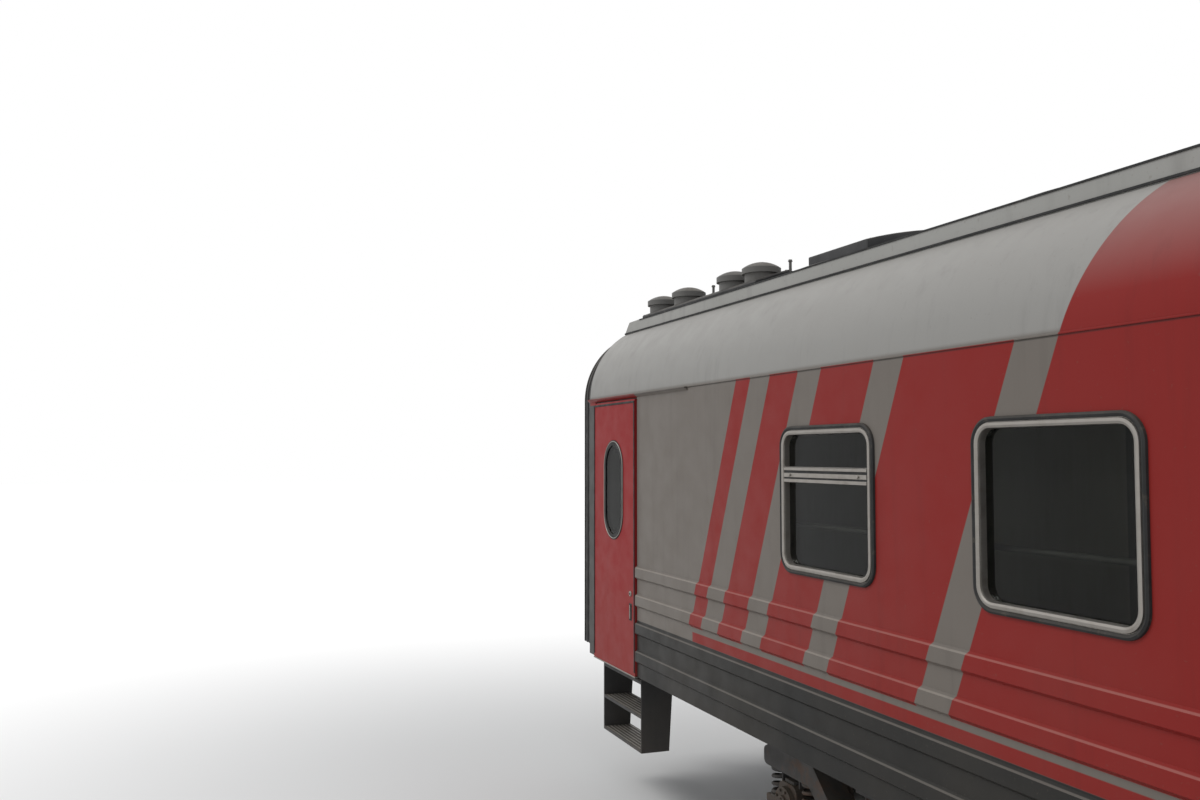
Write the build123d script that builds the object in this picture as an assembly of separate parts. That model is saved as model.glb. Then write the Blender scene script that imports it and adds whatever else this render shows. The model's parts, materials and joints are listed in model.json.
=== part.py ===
from build123d import *
from math import asin, cos, radians, sin, sqrt, tan
import os

# A long-distance passenger coach on two bogies, in millimetres. X runs along the coach,
# Y across it, and Z up from the lowest point of the wheel flanges. The origin is at mid-length.

# Body, with heights over the rail top
body_length = 24920
body_width = 3105
end_gap = 290
side_low_height = 1055
floor_height = 1300
side_top_height = 3380
wall = 80
floor_thick = 90
corner_post = 160
gap = 0.3

# Raised ribs along the lower side: the first one's top edge, and their section
first_rib_height = 1960
rib_pitch = 227
rib_count = 4
rib_depth = 20
rib_height = 110
rib_bevel = 18

# Roof: rounded shoulders, a flatter crown and a raised deck that ramps down at both ends
shoulder_radius = 720
shoulder_angle = 70
deck_inset = 352.5
deck_rise = 90
deck_ramp = 360
gutter_height = 30
gutter_depth = 26
gutter_run = 1000

# Ventilator cowls on plates along the deck's edges, and hatches on the deck
cowl_radius = 145
cowl_rise = 112
cowl_dome = 48
cowl_neck = 22
cowl_overhang = 20
cowl_margin = 20
plate_rise = 24
cowl_plates = (
    # end, near and far edge from the body's end, distances from that end to the cowls
    (-1, 395, 2530, (560, 1090, 1940, 2360)),
    (1, 1760, 2530, (1940, 2360)),
)
hatches = (
    # end, near and far edge from the body's end, half width, rise over the deck
    (-1, 1180, 1780, 560, 55),
    (-1, 2760, 3490, 870, 62),
    (1, 760, 1360, 560, 55),
    (1, 2860, 4660, 870, 62),
)

# Entry doors
door_width = 980
door_head = 43
door_seal = 12
door_thick = 56
door_proud = 16
door_corner = 12
door_glass_width = 460
door_glass_length = 860
door_glass_drop = 337
door_rubber = 45
door_rubber_proud = 4

# Side windows; the row starts behind the service room at end a
window_width = 975
window_height = 880
window_sill_height = 2160
window_radius = 120
window_frame = 48
window_frame_proud = 8
window_pitch = 1760
service_room = 1867.7
least_rear_room = 2800
vent_windows = (0, 3, 8, 9)
vent_drop = 330
vent_bar_depth = 90
glass_thick = 24

# Gangway opening, door and fairing
gangway_width = 800
gangway_height = 2030
gangway_leaf = 40
gangway_clear = 8
gangway_tube = 150
gangway_sill = 60
gangway_bevel = 14
pane_width = 460
pane_length = 700
pane_radius = 60
pane_height = 2600
hinge_heights = (220, 1000, 1700)
hinge_length = 80
hinge_lug = 20
hinge_pin_radius = 8
hinge_eye_radius = 18
hinge_running = 0.06
strap_reach = 90
fairing_inset = 45
fairing_thick = 70
fairing_skirt = 60
fold_count = 4
fold_width = 26
fold_depth = 20
lamp_height = 3000
lamp_y = 1130
lamp_radius = 75
lamp_lens_radius = 56
lamp_depth = 25

# Underframe
sole_height = 150
sole_width = 90
sole_clear = 62.5
steel_web = 14
bolster_width = 460
bolster_drop = 205
bolster_taper = 300
jack_pad_long = 180
jack_pad_wide = 150
jack_pad_deep = 25
headstock_height = 380
headstock_thick = 120
headstock_taper = 240
centre_sill_half = 150
centre_sill_height = 220
cross_bar_pitch = 1450
cross_bar_width = 120
cross_bars_each_side = 4

# Wheels and axles
pivot_distance = 17000
wheelbase = 2400
wheel_radius = 478.5
flange_depth = 28
wheel_inner_y = 720
wheel_width = 130
rim_thick = 62
web_thick = 24
hub_radius = 130
axle_radius = 85
journal_radius = 65
journal_shoulder = 55
journal_length = 180
bearing_running = 0.08
disc_y = 330
disc_radius = 300
disc_width = 100
disc_slot = 34
disc_hub = 140

# Bogie frames, springs, axle boxes and brakes
frame_width = 180
wheel_clear = 60
frame_rise = 195
frame_depth = 155
frame_overhang = 300
frame_dip = 200
dip_depth = 130
dip_slope = 220
sill_round = 40
tube_x = 330
tube_radius = 62
spring_offset = 205
spring_radius = 78
spring_wire = 22
bolster_spring_x = 105
bolster_spring_radius = 94
swing_bolster_depth = 80
swing_bolster_half = 200
swing_bolster_reach = 190
swing_bolster_belly = 90
pivot_radius = 70
pivot_depth = 120
plate_radius = 210
plate_height = 72
bearer_y = 700
bearer_half = 80
pivot_gap = 0.3
damper_x = 275
damper_radius = 40
damper_rod = 30
box_width = 236
box_height = 262
box_depth = 150
wing_height = 62
wing_drop = 41
wing_end = 10
cover_radius = 108
cover_proud = 26
cover_boss_radius = 54
cover_boss_proud = 18
pad_clear = 6
pad_thick = 25
arm_thick = 30
arm_half = 35
pad_long = 120
pad_half = 72
pad_gap = 165

# Couplers and buffers
coupler_height = 1060
coupler_half = 120
shank_half = 80
head_length = 270
head_seat = 30
head_round = 8
head_outline = (
    # distance behind the coupling face, and across
    (270, -150), (120, -170), (20, -150), (20, -95), (120, -70), (150, 20), (150, 90), (60, 150),
    (0, 150), (0, 215), (140, 215), (270, 120),
)
buffer_y = 930
buffer_radius = 185
buffer_short = 10
buffer_flange = 147
buffer_flange_thick = 20
buffer_casing = 105
buffer_casing_long = 150
plunger_radius = 80
buffer_plate = 20
buffer_bulge = 20
buffer_edge = 120

# Inside
corridor_width = 692.5
inner_wall = 30
partition_back = 70
compartment_door = 620
inner_door_head = 155
passage_width = 600
berth_width = 620
berth_thick = 110
berth_clear = 10
lower_berth = 460
upper_berth = 1600
ceiling_thick = 25
table_half = 235
table_depth = 450
table_height = 720
table_thick = 30
handrail_height = 2440
handrail_radius = 16
handrail_stand = 70

# Entry steps and what hangs under the floor
step_pitch = 280
step_count = 3
first_step_height = 1000
step_depth = 250
step_thick = 25
step_side = 50
step_front = 20
hanger_thick = 12
hanger_top = 300
box_bevel = 90
lid_pitch = 680
lid_proud = 10
lid_margin = 42
underfloor_boxes = (
    # x0, x1, reach inwards from the sole bar's outer face, underside over the rail
    (-2700, -700, 690, 492),
    (-300, 1500, 570, 572),
    (2100, 3900, 690, 452),
    (4500, 5900, 630, 532),
)
tank_radius = 170
tank_round = 110
tank_y = 400
tank_x0 = -5400
tank_x1 = -2800
tank_height = 872
strap_half = 40

# Worked out from the sizes above
rail_z = flange_depth
side_low = rail_z + side_low_height
floor_top = rail_z + floor_height
side_top = rail_z + side_top_height
door_top = side_top - door_head
skin_half = body_width / 2 - rib_depth
inner_half = skin_half - wall
body_end = body_length / 2
coupling_end = body_end + end_gap
bogie_x = pivot_distance / 2
end_inner = body_end - wall
door_end_x = body_end - corner_post
door_inner_x = door_end_x - door_width
doorway_near = door_inner_x - door_seal - gap
doorway_far = door_end_x + door_seal + gap
shoulder_y = skin_half - shoulder_radius
crown_centre = side_top - shoulder_y * tan(radians(shoulder_angle))
crown_radius = shoulder_y / cos(radians(shoulder_angle)) + shoulder_radius
crest = crown_centre + crown_radius
deck_half = skin_half - deck_inset
floor_low = floor_top - floor_thick
sole_low = floor_low - sole_height
sole_y = inner_half - sole_clear
sole_end = doorway_near - step_side
pivot_z = floor_low - bolster_drop
wheel_z = rail_z + wheel_radius
wheel_outer_y = wheel_inner_y + wheel_width
half_base = wheelbase / 2
frame_y = wheel_outer_y + wheel_clear + frame_width / 2
frame_low = wheel_z + frame_rise
frame_top = frame_low + frame_depth
dip_top = frame_top - frame_dip
journal_inner_y = wheel_outer_y + journal_shoulder
journal_end_y = journal_inner_y + journal_length
tube_z = dip_top - dip_depth / 2
hinge_y = gangway_width / 2 + hinge_eye_radius + gangway_clear
hinge_x = end_inner - hinge_eye_radius - gangway_clear
ceiling_low = side_top - ceiling_thick
partition_x = doorway_near - partition_back
corridor_end = partition_x - inner_wall
corridor_y = -inner_half + corridor_width
first_window_x = -corridor_end + service_room + window_pitch / 2
window_count = int((2 * corridor_end - service_room - least_rear_room) / window_pitch)
coupler_z = rail_z + coupler_height
handrail_z = rail_z + handrail_height

os.makedirs("parts", exist_ok=True)


def save(name, solids):
    """Write one node from a solid or a list of solids that do not touch."""
    shape = Compound(children=list(solids)) if isinstance(solids, (list, tuple)) else solids
    export_step(shape, "parts/" + name + ".step")


def block(x0, x1, y0, y1, z0, z1):
    """A box between two corners."""
    centre = Pos((x0 + x1) / 2, (y0 + y1) / 2, (z0 + z1) / 2)
    return centre * Box(abs(x1 - x0), abs(y1 - y0), abs(z1 - z0))


def along_x(face, x0, x1):
    """Extrude a face that lies in the plane X = 0, Y across and Z up, from x0 to x1."""
    return Pos(x0, 0, 0) * extrude(face, x1 - x0, dir=(1, 0, 0))


def across(face, y0, y1):
    """Extrude a face that lies in the plane Y = 0, X along and Z up, from y0 to y1."""
    return Pos(0, y0, 0) * extrude(face, y1 - y0, dir=(0, 1, 0))


def rod(radius, x, y0, y1, z):
    """A round bar across the coach."""
    return Pos(x, (y0 + y1) / 2, z) * Rot(90, 0, 0) * Cylinder(radius, abs(y1 - y0))


def roof_section(inset, low):
    """Closed section of the body under the roof line, inset from the skin, down to a height."""
    edge = skin_half - inset
    turn = radians(shoulder_angle)
    small = shoulder_radius - inset
    big = crown_radius - inset
    bend_y = shoulder_y + small * cos(turn)
    bend_z = side_top + small * sin(turn)
    half_y = shoulder_y + small * cos(turn / 2)
    half_z = side_top + small * sin(turn / 2)
    outline = Wire([
        Edge.make_line((-edge, low), (edge, low)),
        Edge.make_line((edge, low), (edge, side_top)),
        Edge.make_three_point_arc((edge, side_top), (half_y, half_z), (bend_y, bend_z)),
        Edge.make_three_point_arc((bend_y, bend_z), (0, crown_centre + big), (-bend_y, bend_z)),
        Edge.make_three_point_arc((-bend_y, bend_z), (-half_y, half_z), (-edge, side_top)),
        Edge.make_line((-edge, side_top), (-edge, low)),
    ])
    return Plane.YZ * make_face(outline)


def panel(width, height, radius, x, z, y0, y1):
    """A rounded plate that lies along the coach side, between two Y values."""
    sketch = Plane.XZ * Pos(x, z) * RectangleRounded(width, height, radius)
    return across(sketch, min(y0, y1), max(y0, y1))


def both_ends(solid):
    """The solid and its copy turned half a turn about Z, for the other end."""
    return [solid, Rot(0, 0, 180) * solid]


# Side walls


def side_wall(side):
    """One side wall with raised ribs between the doors, its windows cut."""
    outer = side * skin_half
    rib = side * (skin_half + rib_depth)
    outline = [(side * inner_half, side_low), (side * inner_half, side_top), (outer, side_top)]
    for index in range(rib_count):
        top = rail_z + first_rib_height - index * rib_pitch
        low = top - rib_height
        outline += [(outer, top), (rib, top - rib_bevel), (rib, low + rib_bevel), (outer, low)]
    outline += [(outer, side_low)]
    section = Plane.YZ * make_face(Polyline(*outline, close=True))
    shape = along_x(section, -doorway_near, doorway_near)
    for x, z in window_places():
        near, far = side * (inner_half - wall), side * (skin_half + wall)
        shape -= panel(window_width, window_height, window_radius, x, z, near, far)
    return shape


def window_places():
    """Centres of the side windows."""
    z = rail_z + window_sill_height + window_height / 2
    return [(first_window_x + index * window_pitch, z) for index in range(window_count)]


def window_frames(side):
    """Metal frames seated in the window openings, with a deep bar across the vents."""
    frames = []
    inside = inner_half - gap
    outside = skin_half + window_frame_proud
    glass_face = inner_half + wall / 2 + glass_thick / 2 + gap
    width, height = window_width - 2 * gap, window_height - 2 * gap
    inner_w, inner_h = width - 2 * window_frame, height - 2 * window_frame
    radius = window_radius - gap
    bar_low = rail_z + window_sill_height + window_height - vent_drop
    for index, (x, z) in enumerate(window_places()):
        ring = panel(width, height, radius, x, z, side * inside, side * outside)
        near, far = side * (inside - wall), side * (outside + wall)
        ring -= panel(inner_w, inner_h, radius - window_frame, x, z, near, far)
        if index in vent_windows:
            reach = (inner_w + window_frame) / 2
            near, far = side * glass_face, side * outside
            ring += block(x - reach, x + reach, near, far, bar_low, bar_low + vent_bar_depth)
        frames.append(ring)
    return frames


def window_glass(side):
    """Panes held inside the frames."""
    middle = inner_half + wall / 2
    inner_w = window_width - 2 * window_frame - 4 * gap
    inner_h = window_height - 2 * window_frame - 4 * gap
    radius = window_radius - window_frame - 2 * gap
    near, far = side * (middle - glass_thick / 2), side * (middle + glass_thick / 2)
    return [panel(inner_w, inner_h, radius, x, z, near, far) for x, z in window_places()]


# Ends


def end_wall():
    """End wall at the +X end with its corner posts, door heads and the gangway opening."""
    shape = along_x(roof_section(0, floor_low), end_inner, body_end)
    half = gangway_width / 2
    shape -= block(end_inner - wall, body_end + wall, -half, half, floor_top, floor_top + gangway_height)
    for side in (-1, 1):
        inner, outer = side * inner_half, side * skin_half
        shape += block(doorway_far, body_end, inner, outer, side_low, side_top)
        shape += block(doorway_near, doorway_far, inner, outer, door_top + door_seal + gap, side_top)
    eye = hinge_eye_radius
    for height in hinge_heights:
        low = floor_top + height
        shape += block(hinge_x - eye, end_inner, hinge_y - eye, hinge_y + eye, low, low + hinge_lug)
        pin = Cylinder(hinge_pin_radius, hinge_length + hinge_lug)
        shape += Pos(hinge_x, hinge_y, low + (hinge_length + hinge_lug) / 2) * pin
    return shape


def gangway_door():
    """Hinged gangway door at the +X end, with its window cut and three hinge eyes."""
    half = gangway_width / 2 - gangway_clear
    low, top = floor_top + gangway_clear, floor_top + gangway_height - gangway_clear
    shape = block(end_inner, end_inner + gangway_leaf, -half, half, low, top)
    shape -= gangway_pane(0)
    eye = hinge_eye_radius
    for height in hinge_heights:
        z0 = floor_top + height + hinge_lug + gap
        z1 = floor_top + height + hinge_length
        strap = block(hinge_x, hinge_x + eye, half - strap_reach, hinge_y, z0, z1)
        strap += block(hinge_x, end_inner, half - strap_reach, half - gangway_clear, z0, z1)
        strap += Pos(hinge_x, hinge_y, (z0 + z1) / 2) * Cylinder(eye, z1 - z0)
        bore = Cylinder(hinge_pin_radius + hinge_running, 4 * hinge_length)
        shape += strap - Pos(hinge_x, hinge_y, z0) * bore
    return shape


def gangway_pane(smaller):
    """The pane of the gangway door, or the hole for it, as thick as the leaf."""
    sketch = RectangleRounded(pane_width - 2 * smaller, pane_length - 2 * smaller, pane_radius - smaller)
    return along_x(Plane.YZ * Pos(0, rail_z + pane_height) * sketch, end_inner, end_inner + gangway_leaf)


def door_places():
    """Centre of each doorway and the side that it is on."""
    x = (door_inner_x + door_end_x) / 2
    return [(end * x, side) for end in (-1, 1) for side in (-1, 1)]


def stadium(smaller, x, y0, y1):
    """Plate in the shape of a door's long round-ended window, smaller all round."""
    width = door_glass_width - 2 * smaller
    height = door_glass_length - 2 * smaller
    z = door_top - door_glass_drop - door_glass_length / 2
    return across(Plane.XZ * Pos(x, z) * SlotOverall(height, width, rotation=90), min(y0, y1), max(y0, y1))


def entry_door(x, side):
    """Door leaf that stands a little proud of the side, with its round-ended window cut."""
    outer = side * (skin_half + door_proud)
    inner = side * (skin_half + door_proud - door_thick)
    z = (side_low + door_top) / 2
    leaf = panel(door_width, door_top - side_low, door_corner, x, z, inner, outer)
    return leaf - stadium(0, x, side * (inner_half - wall), side * (skin_half + wall))


def entry_rubber(x, side):
    """Rubber frame of an entry door's window."""
    outer = side * (skin_half + door_proud + door_rubber_proud)
    inner = side * (skin_half + door_proud - door_thick)
    ring = stadium(gap, x, inner, outer)
    return ring - stadium(gap + door_rubber, x, side * (inner_half - wall), side * (skin_half + wall))


def entry_glass(x, side):
    """Pane of an entry door, inside its rubber frame."""
    middle = side * (skin_half + door_proud - door_thick / 2)
    return stadium(2 * gap + door_rubber, x, middle, middle + side * glass_thick)


def door_seal_ring(x, side):
    """Seal that fills the gap between a door leaf and its doorway."""
    half = door_width / 2
    near, far = side * inner_half, side * (skin_half + door_proud - door_thick / 2)
    ring = block(x - half - door_seal, x + half + door_seal, near, far, side_low, door_top + door_seal)
    low, top = side_low - door_seal, door_top + gap
    return ring - block(x - half - gap, x + half + gap, near - side * wall, far + side * wall, low, top)


def door_gutter(side):
    """Drip rail over the door at the +X end, from the coach's end to well past the door."""
    y0, y1 = side * skin_half, side * (skin_half + gutter_depth)
    lip = Polyline(
        (y0, side_top - gutter_height), (y1, side_top - gutter_height / 3), (y1, side_top), (y0, side_top),
        close=True,
    )
    return along_x(Plane.YZ * make_face(lip), door_inner_x - gutter_run, body_end)


# Roof


def roof_shell():
    """Curved roof between the end walls, as thick as the walls."""
    shape = along_x(roof_section(0, side_low), -end_inner, end_inner)
    shape -= along_x(roof_section(wall, side_low), -body_end, body_end)
    return shape - block(-body_end, body_end, -body_width, body_width, 0, side_top)


def under_deck(rise):
    """Everything under a surface that lies over the roof's crown by a rise, as wide as the deck."""
    radius = crown_radius + rise
    edge_z = crown_centre + sqrt(radius**2 - deck_half**2)
    outline = Wire([
        Edge.make_line((-deck_half, side_top), (deck_half, side_top)),
        Edge.make_line((deck_half, side_top), (deck_half, edge_z)),
        Edge.make_three_point_arc((deck_half, edge_z), (0, crown_centre + radius), (-deck_half, edge_z)),
        Edge.make_line((-deck_half, edge_z), (-deck_half, side_top)),
    ])
    return along_x(Plane.YZ * make_face(outline), -body_end, body_end)


def roof_deck():
    """Raised centre deck along the whole roof, ramped at both ends."""
    shape = under_deck(deck_rise) - along_x(roof_section(0, side_low), -coupling_end, coupling_end)
    top = crest + deck_rise
    edge = crown_centre + sqrt(crown_radius**2 - deck_half**2)
    ramp = Polyline((body_end - deck_ramp, top), (body_end, edge), (body_end, top), close=True)
    wedge = across(Plane.XZ * make_face(ramp), -skin_half, skin_half)
    return shape - both_ends(wedge)


def crowned_plate(x0, x1, y0, y1, rise):
    """Plate of even height that follows the deck's crown."""
    plate = block(x0, x1, y0, y1, side_top, crest + deck_rise + rise) & under_deck(deck_rise + rise)
    return plate - under_deck(deck_rise)


def roof_equipment():
    """Mounting plates along the deck's edges, and the low hatches between them."""
    solids = []
    outer = deck_half - cowl_margin / 2
    inner = outer - 2 * cowl_radius
    for end, near, far, places in cowl_plates:
        for side in (-1, 1):
            x0, x1 = end * (body_end - near), end * (body_end - far)
            solids.append(crowned_plate(x0, x1, side * inner, side * outer, plate_rise))
    for end, near, far, half, rise in hatches:
        x0, x1 = end * (body_end - near), end * (body_end - far)
        solids.append(crowned_plate(x0, x1, -half, half, rise))
    return solids


def cowl():
    """Low mushroom cowl: a neck under a round lid with a domed top."""
    low = -cowl_rise
    neck = cowl_radius - cowl_overhang
    curve = (cowl_radius**2 + cowl_dome**2) / (2 * cowl_dome)
    turn = asin(cowl_radius / curve) / 2
    outline = Wire([
        Edge.make_line((0, low), (neck, low)),
        Edge.make_line((neck, low), (neck, cowl_neck)),
        Edge.make_line((neck, cowl_neck), (cowl_radius, cowl_neck)),
        Edge.make_line((cowl_radius, cowl_neck), (cowl_radius, cowl_rise - cowl_dome)),
        Edge.make_three_point_arc(
            (cowl_radius, cowl_rise - cowl_dome),
            (curve * sin(turn), cowl_rise - curve + curve * cos(turn)),
            (0, cowl_rise),
        ),
        Edge.make_line((0, cowl_rise), (0, low)),
    ])
    return revolve(Plane.XZ * make_face(outline), Axis.Z)


def fan_cowls():
    """Cowls on their plates, in pairs on both sides."""
    cowls = []
    y = deck_half - cowl_margin - cowl_radius + cowl_overhang / 2
    radius = crown_radius + deck_rise + plate_rise
    z = crown_centre + sqrt(radius**2 - y**2)
    under = under_deck(deck_rise + plate_rise)
    for end, near, far, places in cowl_plates:
        for place in places:
            for side in (-1, 1):
                cowls.append(Pos(end * (body_end - place), side * y, z) * cowl() - under)
    return cowls


# Floor and underframe


def floor_plate():
    """Floor plate between the side walls and end walls, with a threshold in each doorway."""
    shape = block(-end_inner, end_inner, -inner_half, inner_half, floor_low, floor_top)
    edge = skin_half + door_proud - door_thick - gap
    half = door_width / 2
    for x, side in door_places():
        shape += block(x - half, x + half, side * inner_half, side * edge, floor_low, floor_top)
    return shape


def sole_bar():
    """Channel along the +Y side, its back outwards."""
    near, back = sole_y - sole_width, sole_y - steel_web
    section = Polyline(
        (near, sole_low), (sole_y, sole_low), (sole_y, floor_low), (near, floor_low),
        (near, floor_low - steel_web), (back, floor_low - steel_web), (back, sole_low + steel_web),
        (near, sole_low + steel_web), close=True,
    )
    return along_x(Plane.YZ * make_face(section), -sole_end, sole_end)


def cross_bar(x):
    """I-section bar between the sole bars."""
    web, flange = steel_web / 2, cross_bar_width / 2
    high, low = floor_low - steel_web, sole_low + steel_web
    section = Polyline(
        (x - flange, floor_low), (x + flange, floor_low), (x + flange, high), (x + web, high),
        (x + web, low), (x + flange, low), (x + flange, sole_low), (x - flange, sole_low),
        (x - flange, low), (x - web, low), (x - web, high), (x - flange, high), close=True,
    )
    half = sole_y - sole_width
    return across(Plane.XZ * make_face(section), -half, half)


def body_bolster(x):
    """Cross beam over a bogie, tapered to the sole bars, with its pivot pin and jacking pads."""
    half = sole_y - sole_width
    flat = half - bolster_taper
    outline = Polyline(
        (-half, floor_low), (half, floor_low), (half, sole_low), (flat, pivot_z), (-flat, pivot_z),
        (-half, sole_low), close=True,
    )
    shape = along_x(Plane.YZ * make_face(outline), x - bolster_width / 2, x + bolster_width / 2)
    for side in (-1, 1):
        near, far = side * (sole_y - jack_pad_wide), side * sole_y
        reach = jack_pad_long / 2
        shape += block(x - reach, x + reach, near, far, sole_low - jack_pad_deep, sole_low)
    return shape + Pos(x, 0, pivot_z - pivot_depth / 2) * Cylinder(pivot_radius, pivot_depth)


def headstock():
    """End beam at the +X end, tapered outwards, with the centre sill behind it."""
    knee = sole_y - headstock_taper
    low = floor_low - headstock_height
    outline = Polyline(
        (-sole_y, floor_low), (sole_y, floor_low), (sole_y, sole_low), (knee, low), (-knee, low),
        (-sole_y, sole_low), close=True,
    )
    back = body_end - headstock_thick
    shape = along_x(Plane.YZ * make_face(outline), back, body_end)
    half = centre_sill_half
    start = bogie_x + bolster_width / 2
    return shape + block(start, back, -half, half, floor_low - centre_sill_height, floor_low)


# Bogies


def wheel():
    """One wheel about the Y axis, its inner face at Y = 0: flange, tread, dished web and hub."""
    tread = wheel_radius
    flange = wheel_radius + flange_depth
    rim = wheel_radius - rim_thick
    bevel = flange_depth / 3
    middle = wheel_width / 2
    outline = Polyline(
        (0, -bevel), (hub_radius, -bevel), (hub_radius, middle - web_thick), (rim, web_thick),
        (rim, 0), (tread, 0), (flange - bevel, 0), (flange, bevel), (flange, 2 * bevel),
        (tread, flange_depth + bevel), (tread, wheel_width - bevel), (tread - bevel, wheel_width),
        (rim, wheel_width), (rim, 2 * web_thick), (hub_radius, middle), (hub_radius, wheel_width),
        (0, wheel_width), close=True,
    )
    return revolve(make_face(outline), Axis.Y)


def brake_disc():
    """Brake disc about the Y axis: two cheeks on a hub."""
    half = disc_width / 2
    shape = Rot(90, 0, 0) * Cylinder(disc_radius, disc_width)
    slot = Rot(90, 0, 0) * (Cylinder(disc_radius + half, disc_slot) - Cylinder(disc_hub, disc_slot))
    return shape - slot + Rot(90, 0, 0) * Cylinder(disc_hub, disc_width + half)


def wheelset():
    """Axle with two wheels and two brake discs, turned about its own axis."""
    shape = Rot(90, 0, 0) * Cylinder(axle_radius, 2 * journal_inner_y)
    shape += Rot(90, 0, 0) * Cylinder(journal_radius, 2 * journal_end_y)
    for turned in both_ends(Pos(0, wheel_inner_y, 0) * wheel()):
        shape += turned
    for turned in both_ends(Pos(0, disc_y, 0) * brake_disc()):
        shape += turned
    return shape


def bogie_frame():
    """Bogie frame: two sills that dip between the wheels and two cross tubes."""
    end = half_base + frame_overhang
    knee = half_base - frame_overhang
    dip = knee - dip_slope
    low = dip_top - dip_depth
    half = [
        (dip, low), (knee, frame_low), (end, frame_low), (end, frame_top - sill_round),
        (end - 2 * sill_round, frame_top), (knee - sill_round, frame_top), (dip - sill_round, dip_top),
    ]
    sketch = make_face(Polyline(*half, *[(-x, z) for x, z in reversed(half)], close=True))
    sketch = fillet(sketch.vertices(), sill_round)
    sill = across(Plane.XZ * sketch, frame_y - frame_width / 2, frame_y + frame_width / 2)
    shape = sill + Rot(0, 0, 180) * sill
    for x in (-tube_x, tube_x):
        shape += rod(tube_radius, x, -frame_y, frame_y, tube_z)
    return shape


def swing_bolster():
    """Bolster on the springs: a beam with a belly, the pivot plate, side bearers and dampers."""
    top = pivot_z - pivot_gap
    beam_top = top - plate_height
    beam_low = beam_top - swing_bolster_depth
    reach = frame_y + swing_bolster_reach
    knee = frame_y - frame_width
    belly = knee - 2 * swing_bolster_belly
    outline = Polyline(
        (-reach, beam_top), (reach, beam_top), (reach, beam_low), (knee, beam_low),
        (belly, beam_low - swing_bolster_belly), (-belly, beam_low - swing_bolster_belly),
        (-knee, beam_low), (-reach, beam_low), close=True,
    )
    half = swing_bolster_half
    shape = along_x(Plane.YZ * make_face(outline), -half, half)
    shape += Pos(0, 0, (beam_top + top) / 2) * Cylinder(plate_radius, plate_height)
    for side in (-1, 1):
        near, far = side * (bearer_y - bearer_half), side * (bearer_y + bearer_half)
        shape += block(-half + bearer_half, half - bearer_half, near, far, beam_top, top)
        for x in (-damper_x, damper_x):
            y = side * frame_y
            middle = (dip_top + beam_top) / 2
            shape += block(0, x, y - damper_radius, y + damper_radius, beam_low, beam_top - damper_radius)
            shape += Pos(x, y, (middle + beam_top) / 2) * Cylinder(damper_radius, beam_top - middle)
            rest = dip_top + gap
            shape += Pos(x, y, (rest + middle) / 2) * Cylinder(damper_rod, middle - rest)
    return shape - Pos(0, 0, top) * Cylinder(pivot_radius + bearing_running, 4 * pivot_depth)


def coil(radius, wire, low, high, turns):
    """Rings on a core, which stand for the turns of a coil spring."""
    pitch = (high - low - wire) / turns
    shape = Pos(0, 0, (low + high) / 2) * Cylinder(radius - wire, high - low)
    for index in range(turns + 1):
        z = low + index * pitch + wire / 2
        shape += Pos(0, 0, z) * Cylinder(radius, wire)
    return shape


def bogie_springs():
    """Springs of one bogie: eight on the axle boxes' wings and four under the bolster."""
    springs = []
    wing_top = wheel_z - wing_drop + wing_height / 2
    beam_low = pivot_z - pivot_gap - plate_height - swing_bolster_depth
    for axle in (-half_base, half_base):
        for offset in (-spring_offset, spring_offset):
            spring = coil(spring_radius, spring_wire, wing_top, frame_low, 3)
            springs += both_ends(Pos(axle + offset, frame_y, 0) * spring)
    for x in (-bolster_spring_x, bolster_spring_x):
        spring = coil(bolster_spring_radius, spring_wire, dip_top, beam_low, 3)
        springs += both_ends(Pos(x, frame_y, 0) * spring)
    return springs


def axle_boxes():
    """Axle boxes on the journals, each with a wing on either side and a round cover."""
    boxes = []
    wing_long = 2 * (spring_offset + spring_radius + wing_end)
    outline = RectangleRounded(box_width, box_height, box_width / 4)
    outline += Pos(0, -wing_drop) * RectangleRounded(wing_long, wing_height, wing_height / 3)
    casing = across(Plane.XZ * outline, frame_y - box_depth / 2, frame_y + box_depth / 2)
    casing += rod(cover_radius, 0, frame_y, journal_end_y + cover_proud, 0)
    casing += rod(cover_boss_radius, 0, frame_y, journal_end_y + cover_proud + cover_boss_proud, 0)
    casing -= rod(journal_radius + bearing_running, 0, wheel_outer_y, journal_end_y + gap, 0)
    for x in (-half_base, half_base):
        boxes += both_ends(Pos(x, 0, wheel_z) * casing)
    return boxes


def brake_gear():
    """Brake calipers on the cross tubes, each a yoke round a disc with a pad on either face."""
    inside = disc_width / 2 + pad_clear
    arm = inside + pad_thick
    outside = arm + arm_thick
    front = half_base - pad_gap
    slot = half_base - disc_radius - arm_thick
    z = tube_z
    sketch = make_face(Polyline(
        (tube_x, -arm), (slot - 2 * arm, -arm), (slot - arm, -outside), (front, -outside),
        (front, outside), (slot - arm, outside), (slot - 2 * arm, arm), (tube_x, arm), close=True,
    ))
    yoke = Pos(0, 0, z - arm_half) * extrude(sketch, 2 * arm_half)
    yoke -= block(slot, front + arm, -arm, arm, z - 2 * arm_half, z + 2 * arm_half)
    for side in (-1, 1):
        yoke += block(front - pad_long, front, side * inside, side * arm, z - pad_half, z + pad_half)
    yoke += rod(pad_half, slot - 2 * arm, -outside, outside, z)
    yoke = Pos(0, disc_y, 0) * yoke - rod(tube_radius + gap, tube_x, 0, frame_y, tube_z)
    return both_ends(yoke) + both_ends(mirror(yoke, Plane.XZ))


# Couplers and buffers


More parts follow.
